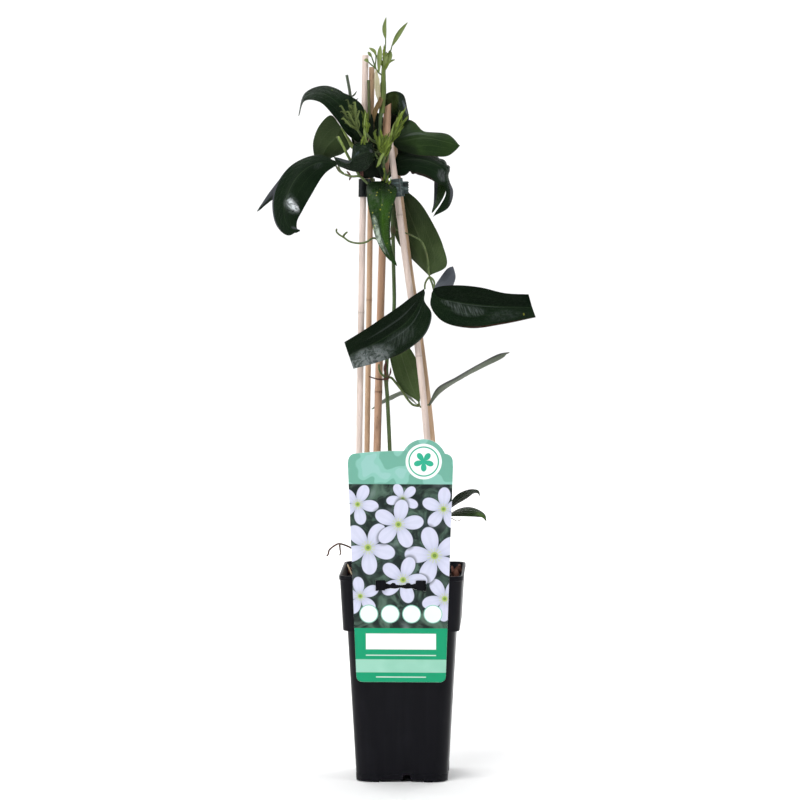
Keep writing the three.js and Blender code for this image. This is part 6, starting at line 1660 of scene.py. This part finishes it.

# %% [markdown]
# ## How each leaf differs
# Leaves of one plant are alike, but never the same. Painted shade darkens the half of a blade that turns from
# the light, and on some the foot near the stalk. Painted sheen, grey or violet and broken up by blisters or
# streaks, lies where a waxy face catches a lamp. A few marks are a leaf's own colour, such as a scratch. Each
# of these marks is an oval in the blade's own coordinates: its middle across and along, its reach both ways,
# its strength, what breaks it up, and its colour where that isn't the usual sheen grey. The tables below are
# easier to change than twenty-one pairs of separate materials.

# %% Leaf marks
# Grey, blue-grey, violet, pale and white marks are painted sheen and painted highlights where a waxy face
# catches a lamp. The near-black mark on crown_leaf_right_mid is painted shade, and so are sides and foot.
# Red-brown marks at the margins are the leaves' own colour.
MARKS_AND_SHEEN = {
    "upper_leaf_front": {
        "sides": (0.5, 0), "shine": 0.07,
        "marks_and_sheen": [
            (0.82, 0.93, 0.38, 0.26, 0.62, "blistered_sheen"), (0.7, 0.62, 0.2, 0.18, 0.16, "streaky_sheen"),
            (0.3, 0.55, 0.03, 0.35, 0.08, "soft"), (0.62, 0.45, 0.02, 0.35, 0.08, "soft"),
            (0.99, 0.4, 0.03, 0.3, 0.1, "soft"), (0.9, 0.95, 0.2, 0.14, 0.35, "blistered_sheen")]},
    "upper_leaf_right": {
        "sides": (0.65, 0), "shine": 0.05,
        "marks_and_sheen": [
            (0.66, 0.5, 0.14, 0.16, 0.26, "streaky_sheen"), (0.58, 0.34, 0.1, 0.14, 0.24, "streaky_sheen"),
            (0.75, 0.78, 0.2, 0.16, 0.05, "blistered_sheen"), (0.52, 0.5, 0.014, 0.35, 0.08, "soft"),
            (0.78, 0.925, 0.07, 0.008, 0.6, "soft", (0.22, 0.24, 0.03)),
            (0.98, 0.75, 0.03, 0.3, 0.5, "soft", (0.05, 0.016, 0.012))]},
    "crown_leaf_left_low": {
        "shine": 0.045, "gloss": 0.33,
        "marks_and_sheen": [
            (0.74, 0.51, 0.24, 0.055, 1.0, "blistered_sheen", (0.75, 0.8, 0.82)),
            (0.7, 0.52, 0.3, 0.1, 0.25, "blistered_sheen"), (0.62, 0.15, 0.16, 0.05, 0.12, "streaky_sheen"),
            (0.03, 0.56, 0.05, 0.25, 0.35, "soft", VIOLET_SHEEN), (0.85, 0.85, 0.3, 0.08, 0.3, "soft", VIOLET_SHEEN)]},
    "crown_leaf_left_top": {
        "shine": 0.055,
        "marks_and_sheen": [
            (0.5, 0.74, 0.16, 0.12, 0.14, "streaky_sheen"),
            (0.83, 0.49, 0.035, 0.01, 0.4, "soft", (0.16, 0.22, 0.04))]},
    "crown_leaf_left_far": {"marks_and_sheen": [(0.3, 0.6, 0.5, 0.6, 0.4, "soft", VIOLET_SHEEN)]},
    "crown_leaf_right_mid": {
        "base": MID, "shine": 0.07, "gloss": 0.34, "foot": 0.85,
        "marks_and_sheen": [
            (0.36, 0.42, 0.05, 0.26, 0.14, "soft"),
            (0.9, 0.25, 0.3, 0.25, 0.7, "soft", (0.004, 0.008, 0.004)),
            (0.02, 0.6, 0.03, 0.3, 0.5, "soft", (0.05, 0.016, 0.012))]},
    "crown_leaf_right_low": {
        "shine": 0.04, "gloss": 0.3, "foot": 0.4,
        "marks_and_sheen": [
            (0.62, 0.49, 0.26, 0.12, 0.35, "streaky_sheen", (0.3, 0.3, 0.34)),
            (0.15, 0.75, 0.2, 0.12, 0.4, "soft", VIOLET_SHEEN),
            (0.97, 0.3, 0.05, 0.2, 0.5, "soft", (0.03, 0.014, 0.016))]},
    "crown_leaf_right_inner": {
        "base": MID,
        "marks_and_sheen": [
            (0.1, 0.5, 0.25, 0.7, 0.75, "soft", (0.022, 0.022, 0.03))]},
    "crown_leaf_right_top": {
        "marks_and_sheen": [
            (0.25, 0.8, 0.13, 0.15, 0.6, "streaky_sheen", (0.3, 0.34, 0.42)),
            (0.5, 0.38, 0.55, 0.26, 0.85, "soft", (0.052, 0.078, 0.022))]},
    "crown_leaf_front": {
        "base": BRIGHT, "speckle": 0.9, "foot": 0.9,
        "marks_and_sheen": [
            (0.16, 0.62, 0.2, 0.19, 0.75, "blistered_sheen", (0.5, 0.6, 0.5)),
            (0.34, 0.72, 0.12, 0.14, 0.45, "streaky_sheen"),
            (0.62, 0.55, 0.3, 0.3, 0.35, "soft", (0.05, 0.13, 0.01)),
            (0.98, 0.3, 0.06, 0.3, 0.6, "soft", (0.01, 0.02, 0.008)),
            (0.02, 0.2, 0.06, 0.3, 0.7, "soft", (0.01, 0.02, 0.008))]},
    "crown_leaf_centre": {
        "marks_and_sheen": [
            (0.42, 0.45, 0.07, 0.14, 0.3, "streaky_sheen", (0.22, 0.28, 0.36)),
            (0.46, 0.1, 0.12, 0.05, 0.3, "soft", VIOLET_SHEEN), (0.2, 0.8, 0.3, 0.18, 0.22, "soft", VIOLET_SHEEN)]},
    "low_leaf_lower": {
        "base": MID, "shine": 0.04,
        "marks_and_sheen": [
            (0.6, 0.8, 0.5, 0.35, 0.7, "soft", (0.05, 0.1, 0.015))]},
    "low_leaf_upper": {"shine": 0.04, "marks_and_sheen": [(0.6, 0.5, 0.2, 0.4, 0.15, "soft", (0.03, 0.05, 0.02))]},
    "upper_leaf_small": {"base": GREY_SHEEN, "gloss": 0.4},
    "lower_leaf_left": {"base": DULL, "gloss": 0.4},
    "lower_leaf_right": {
        "base": ((0.075, 0.09, 0.062), (0.1, 0.12, 0.085), (0.12, 0.14, 0.1)), "shine": 0.05, "gloss": 0.45,
        "marks_and_sheen": [
            (0.0, 0.58, 0.46, 0.8, 0.95, "soft", (0.012, 0.015, 0.014))]},
}
UNDER = {
    "crown_leaf_left_mid": {"shade": 0.85}, "crown_leaf_right_top": {"shade": 0.4},
    "upper_leaf_back": {"shade": 0.6}, "crown_leaf_back_lower": {"shade": 0.3},
    "lower_leaf_right": {"dark_edge": 0.9, "pale": (0.06, 0.075, 0.05), "green": (0.045, 0.06, 0.038)},
    "lower_leaf_left": {"pale": (0.20, 0.23, 0.23), "green": (0.12, 0.14, 0.13)},
}


def leaf_skin(name, lines, rows=72, half=12):
    """A blade as a skin: finish 0 on its upper face and finish 1 on its lower face."""
    rings, across = leaf_rows(name, lines, rows, half)
    return Skin().add(rings, across, finish=blade_kinds(len(across) // 2, 0, 1))


for name, lines in LEAVES.items():
    skin = leaf_skin(name, lines)
    own = dict(MARKS_AND_SHEEN.get(name, {}))
    base = own.pop("base", DARK)
    looks = [
        leaf_upper("upper_of_" + name, *base, **own), leaf_lower("under_of_" + name, **UNDER.get(name, {}))]
    slot = "bright_leaf" if name == "crown_leaf_front" else "leaf"
    skin.make("blade_" + name, [name], slot, looks, sharp=70)

# %% [markdown]
# ## Leaves deep in the crown
# Behind the young fans the crown is so full of old leaves that hardly any light comes through. They are
# small, and their nearly black colour is painted shade, so eight plain blades between the canes are enough,
# each with its stalk.

# %% Inner leaves
INNER_LEAVES = {
    "inner_leaf_left": blade("""
        -34.8 -12.8 571.8, -41.4 -13 578.6, -41.9 -13 591.3, -39.5 -13 597, -37.5 -12.6 601 /
        -34 -12.8 571.4, -35.2 -13.6 580.6, -34.8 -13.6 592.3, -35 -13.4 596.5, -36.8 -12.6 601.2 /
        -33.3 -12.8 571.8, -29.1 -13 579.6, -29.3 -13 591.3, -32 -13 597, -36 -12.6 601"""),
    "inner_leaf_middle": blade("""
        -28.6 -11.6 562.9, -29.7 -12.2 572.7, -29.5 -12.4 582.5, -29 -12.2 591.3, -27.9 -11.8 596.7 /
        -27.8 -11.6 562.7, -27.9 -12.8 572.7, -27.7 -12.9 582.5, -27.4 -12.6 590.3, -27.7 -11.8 596.9 /
        -27 -11.6 562.9, -25.4 -12.2 572.7, -25.6 -12.4 582.5, -26 -12.2 590.3, -27.4 -11.8 596.7"""),
    "inner_leaf_far_right": blade("""
        -12.5 12.4 553, -14 13 560, -14 13.5 572, -13 13.5 588, -9 13 603 /
        -11.5 12.4 553, -6 14 562, -5 14.6 574, -6 14.4 590, -7.5 13 603 /
        -10.5 12.4 553, 0 13 561, 2 13.5 573, 0.5 13.5 588, -5 13 603"""),
    "inner_leaf_front_low": blade("""
        -28 -15 557, -35 -15 554, -38 -15 549, -38.5 -15 544, -35 -15 539.5 /
        -27.6 -15 556.5, -30 -16 551, -31 -16.2 546, -32 -16 543, -34 -15 539.3 /
        -27.2 -15 556, -22 -15 553, -21 -15 547, -24 -15 541, -33 -15 539"""),
    "inner_leaf_low_left": blade("""
        -29.2 10 563.9, -38.7 12 559.4, -42.7 13 551.5, -41.2 13 544.6, -39.2 12.5 538.7 /
        -28.6 10 563.4, -33.1 12.8 555.5, -35.8 13.6 548.6, -37.7 13.4 542.6, -38.8 12.5 538.5 /
        -28 10 562.8, -27.5 12 554.5, -28.1 13 546.6, -32.3 13 539.7, -38.2 12.5 538.5"""),
    "inner_leaf_low_right": blade("""
        -24 10 561, -29.3 12 552.5, -29.3 12.6 544.6, -26.3 12.6 539.7, -20.9 12 538.2 /
        -23.1 10 561, -21.2 12.8 552.5, -20.3 13.4 545.6, -19.6 13 540.7, -20.2 12 538 /
        -22.1 10 561, -12 12 553.5, -9.6 12.6 545.6, -12.5 12.6 538.7, -19.2 12 538"""),
    "inner_leaf_right": blade("""
        -19.8 9.6 562.5, -21.8 11 571.3, -21.3 11.6 580.1, -18.4 11.6 589, -12.4 11 596.4 /
        -18.8 9.6 562.5, -16.4 11.8 571.3, -14.3 12.4 580.1, -12.5 12.2 589, -11.5 11 596.3 /
        -17.8 9.6 562.5, -7.5 11 570.3, -5.6 11.6 578.2, -6.5 11.6 588, -10.5 11 596.1"""),
    "inner_leaf_far_left": blade("""
        -38.5 9.8 564.4, -45 11 568.3, -47 12 575.2, -46.5 12 582.1, -42.1 11.5 588 /
        -37.6 9.8 564.9, -39.1 11.8 571.2, -39.7 12.6 577.1, -40.1 12.5 582.1, -41.1 11.5 587.8 /
        -36.6 9.8 565.4, -32.7 11 571.3, -32.7 12 578.1, -35.2 12 584, -40.1 11.5 587.8"""),
}
INNER_STALKS = {
    "inner_leaf_far_right": through("-19 -5.5 553, -21.5 3 553, -14 8.6 552.5, -11.6 12.4 553.4"),
    "inner_leaf_front_low": through("-18.6 -8 553, -24 -14 556, -28 -15 556.4"),
    "inner_leaf_left": through("-33 -14 560.5, -34 -13.4 566, -34 -12.8 572"),
    "inner_leaf_middle": through("-26 -13 561.3, -27 -12.2 562, -27.8 -11.8 564"),
    "inner_leaf_low_left": through("-19.5 -5.5 559, -23.5 2 562, -28.8 10.4 563"),
    "inner_leaf_low_right": through("-19 -5.5 556, -21.8 3 560, -23.1 10.4 560.6"),
    "inner_leaf_right": through("-19.5 -5.5 560, -21 3 562, -18.8 10 563"),
    "inner_leaf_far_left": through("-20 -5.5 562, -24 5 564, -29 10.8 565, -37.8 10.4 565.4"),
}
# Painted shade: the inner blades are nearly black because the crown shades them.
NEARLY_BLACK_SHADE = ((0.0015, 0.004, 0.0018), (0.005, 0.011, 0.004), (0.012, 0.022, 0.008))
INNER = leaf_upper("inner_leaf", *NEARLY_BLACK_SHADE, shine=0.08, gloss=0.4)
INNER_UNDER = leaf_lower("inner_leaf_under", 0.7)
for name, lines in INNER_LEAVES.items():
    inner = leaf_skin(name, lines, rows=30, half=6)
    inner.add(tube(INNER_STALKS[name], 0.8, 0.7, sides=8, spacing=1.5), finish=2)
    inner.make(name, [], "leaf", [INNER, INNER_UNDER, STALK_GREEN], sharp=70)

# %% [markdown]
# ## Young growth
# At the crown four fans of young bracts spread, and a new shoot with pale leaflets stands over them.
# Young growth is yellow green, thin and downy. Each bract of the solid becomes one folded blade, and
# seeded side draws add the slim ones between, which hardly reach further out than the main ones.

# %% Young growth
def young_finish(name, light, green):
    finish = Finish(name, IOR=1.4, Specular_IOR_Level=0.3)
    across, along = finish.across_along()
    place = finish.place()
    stretched = finish.node("ShaderNodeCombineXYZ", {}, {0: across * 14, 1: along * 3})
    fibre = finish.noise(stretched, 1, 3, 0.6)
    blotch = finish.noise(place, 120, 3, 0.55)
    rib = (across - 0.5).abs().rise(0.07, 0.02)
    colour = finish.mix((fibre * 0.6 + finish.tone() * 0.5).rise(0.25, 0.85), green, light)
    colour = finish.mix(rib * 0.35 + blotch.rise(0.55, 0.8) * 0.3, colour, scaled(light, 1.35))
    colour = finish.mix(along.rise(0.88, 1.0) * 0.4, colour, (0.13, 0.10, 0.03))
    finish.relief(fibre + blotch * 0.5, 0.00015, 0.6)
    return finish.wear(Base_Color=colour, Roughness=fibre * 0.15 + 0.5)


YOUNG_GREEN = young_finish("young_green", (0.145, 0.205, 0.024), (0.018, 0.033, 0.003))
YOUNG_GREY = young_finish("young_grey", (0.11, 0.145, 0.04), (0.018, 0.031, 0.006))
SPINE_GREEN = stem_finish("spine_green", (0.26, 0.34, 0.10), (0.14, 0.20, 0.04), (0.12, 0.14, 0.04))
YOUNG_PALE = young_finish("young_pale", (0.185, 0.235, 0.075), (0.07, 0.105, 0.025))
rng = np.random.default_rng(29)
HOOKS = {"bract_fan_left": (-2.6, -0.6, -1.2)}
SLIM_BRACT = {"steps": 12, "columns": 5, "fold": 0.7, "thick": 0.18, "wave": 0.4}
SPINES = {
    "bract_fan_right": through(
        "-22.6 -17.5 548.5, -19 -19.5 557.4, -12.1 -20.5 570.2, -7.1 -20 586.7, 0.6 -18.5 599.1"),
    "bract_fan_front": through("-29.2 -19 567.2, -32.1 -23 572.6, -33.2 -28 584.2, -31.8 -29 598.3"),
}


def make_fan(name, fan, slim=7):
    """To every tip of the solid a folded bract, and round it slim ones that end at random before it.
    In a fan with hooks the last stretch of every bract bends over."""
    start, before = np.array(fan["foot"][-1], float), np.array(fan["foot"][-2], float)
    skin = Skin().add(tube(fan["foot"], 1.3, 1.1, sides=12, spacing=1), finish=1)
    if name in SPINES:
        skin.add(tube(SPINES[name], 1.5, 0.7, sides=12, spacing=1, ribs=0.08), finish=2)
    hook = np.array(HOOKS.get(name, (0, 0, 0)))
    for k, tip in enumerate(np.array(fan["tips"], float)):
        middle = start + (tip - start) * 0.5 + [0, -1 - k % 2, 1] + rng.normal(0, 0.7, 3)
        root = start + (before - start) * 0.3
        line = [root, middle, tip - hook * 0.6, tip] if hook.any() else [root, middle, tip]
        half_width = fan["half_width"] * rng.uniform(0.4, 0.65)
        add_blade(skin, line, half_width, 0, tone=rng.uniform(0, 1), fold=0.6, wave=0.3)
        for _ in range(slim):
            swing = rng.normal(0, 1, 3) * [2.0, 1.2, 1.8]
            share = rng.uniform(0.35, 0.9)
            short = start + (tip - start) * share + swing * share
            from_place = root + (tip - root) * rng.uniform(0, 0.35) + rng.normal(0, 0.4, 3)
            bend = (from_place + short) / 2 + rng.normal(0, 0.9, 3) + [0, -0.8, 0.3]
            line = [from_place, bend, short, short + hook * 0.5] if hook.any() else [from_place, bend, short]
            half_width = fan["half_width"] * rng.uniform(0.16, 0.34)
            add_blade(skin, line, half_width, 0, tone=rng.uniform(0, 1), **SLIM_BRACT)
    looks = [YOUNG_GREY if hook.any() else YOUNG_GREEN, STALK_GREEN, SPINE_GREEN]
    skin.make("young_" + name, [name], "young_growth", looks)


for name, fan in FANS.items():
    make_fan(name, fan)

# %% [markdown]
# ## Small things in the crown
# Two pale petioles flare towards their foot, slim bracts stand round the top shoot and the fans, and a
# dark strap leaf hangs before the stem. They stand on the stalks that are there already. Last comes the
# top shoot itself.

# %% Small growth
SMALL_BRACTS = [
    (1.2, through("-18.4 -5.6 638, -20 -7 647, -20.4 -7 656")),
    (0.9, through("-17.6 -6 641, -17.2 -8 650, -16.4 -8 658")),
    (1, through("-16.6 -5.4 641, -13.6 -7 648, -11.4 -7 653")),
    (0.9, through("-17 -5.6 634, -14.2 -7 641, -12.4 -7 648")),
    (0.7, through("-17.6 -5.6 638, -21.6 -6 643, -24 -6 650")),
    (1.3, through("-20.7 -21 563.7, -22.4 -23 572.6, -24.6 -23 579.7, -22.8 -22.5 582.8")),
    (1.1, through("-19.8 -20 562, -17.9 -23.5 571.7, -16.1 -23.5 577.9")),
    (1.2, through("-18.9 -20 562, -14.4 -23 572.6, -11.3 -22.5 580.6")),
    (0.9, through("-19.8 -20 562, -20.1 -23.5 571.7, -20.5 -24 577.5")),
    (0.9, through("-16.8 -13 547, -16.3 -20 548, -15.8 -20 544.1")),
    (0.8, through("-17.3 -17 536, -16.3 -20 539.9, -15.8 -20 544.1")),
    (0.8, through("-16.4 -14.6 534, -13.6 -20.5 537.1, -12.3 -20.5 542.4")),
    (0.8, through("-15.5 -14.5 534, -11.4 -20 535.3, -10.1 -19.5 540.1")),
    (0.9, through("-33 -26.5 579, -35.5 -27 573, -36.5 -27.5 568")),
    (0.9, through("-31 -24 577, -33.5 -26 571, -32.5 -26 566.5")),
]
STRAP = blade("""
    -24.8 -17.5 557.4, -23.5 -18.5 550.3, -19.5 -18.5 542.3, -15.9 -18 537 /
    -23.5 -17.5 557.9, -21.7 -19 551.2, -18.3 -19 544.1, -15.5 -18 536.6 /
    -22.3 -17.5 558.3, -19.7 -18.5 552.1, -16.9 -18.5 545, -14.9 -18 537""")
PETIOLES = [
    (through("-43.8 -13 565.6, -48.3 -11 573.7, -52.4 -9 580.3, -55.4 -8 584.4"), 2.0, 0.5, 0.05),
    (through("-41 -14.2 562, -42.2 -13.6 563.6, -43.8 -13 565.6"), 1.2, 1.9, 0.0),
    (through("-44.8 -18.5 553, -48.3 -19.5 559.2, -52.7 -20 568.1, -57.2 -19 576.9"), 1.3, 0.9, 0.05),
]
DRY_SCALES = several("""
    -46 -17.4 541.8, -48 -17.8 544, -49.7 -17.5 546 /
    -45 -17.4 541.6, -46.4 -17.8 539.6, -47.4 -17.5 537.4""")
STRAP_STALK = through("-17 -16 552, -20 -17.5 556, -23.4 -17.6 557.4")
SHOOT_STEM = through("-17.4 -5.4 621, -17.3 -5.2 634, -17 -5 641, -16.3 -4.6 646")
growth = Skin()
for half_width, points in SMALL_BRACTS:
    add_blade(growth, points, half_width, 0, tone=rng.uniform(0.3, 1), fold=0.6, wave=0.3)
for points, radius, tip, ribs in PETIOLES:
    growth.add(tube(points, radius, tip, sides=12, spacing=1, ribs=ribs), finish=1)
for points in DRY_SCALES:
    add_blade(growth, points, 0.9, 2, thick=0.5)
growth.make("small_growth", [], "young_growth", [YOUNG_GREEN, SPINE_GREEN, DRY_BROWN])
# The strap leaf wears the inner leaves' nearly black finish, which is painted shade.
strap = leaf_skin("strap", STRAP, rows=30, half=5)
strap.add(tube(STRAP_STALK, 0.7, 0.6, sides=8, spacing=1), finish=2)
strap.make("strap_leaf", [], "leaf", [INNER, INNER_UNDER, STALK_GREEN], sharp=70)


def make_top_shoot():
    shoot = Skin().add(tube(SHOOT_STEM, 2.3, 1.5, sides=18, spacing=1, ribs=0.04), finish=2)
    for points in TOP_STALKS:
        shoot.add(tube(points, 0.75, 0.55, sides=10, spacing=1), finish=1)
    for half_width, points in TOP_BLADES:
        add_blade(shoot, points, half_width, 0, tone=rng.uniform(0.4, 1), fold=0.6)
    shoot.make("new_shoot", ["top_shoot"], "young_growth", [YOUNG_PALE, STALK_GREEN, TIP_GREEN])


make_top_shoot()
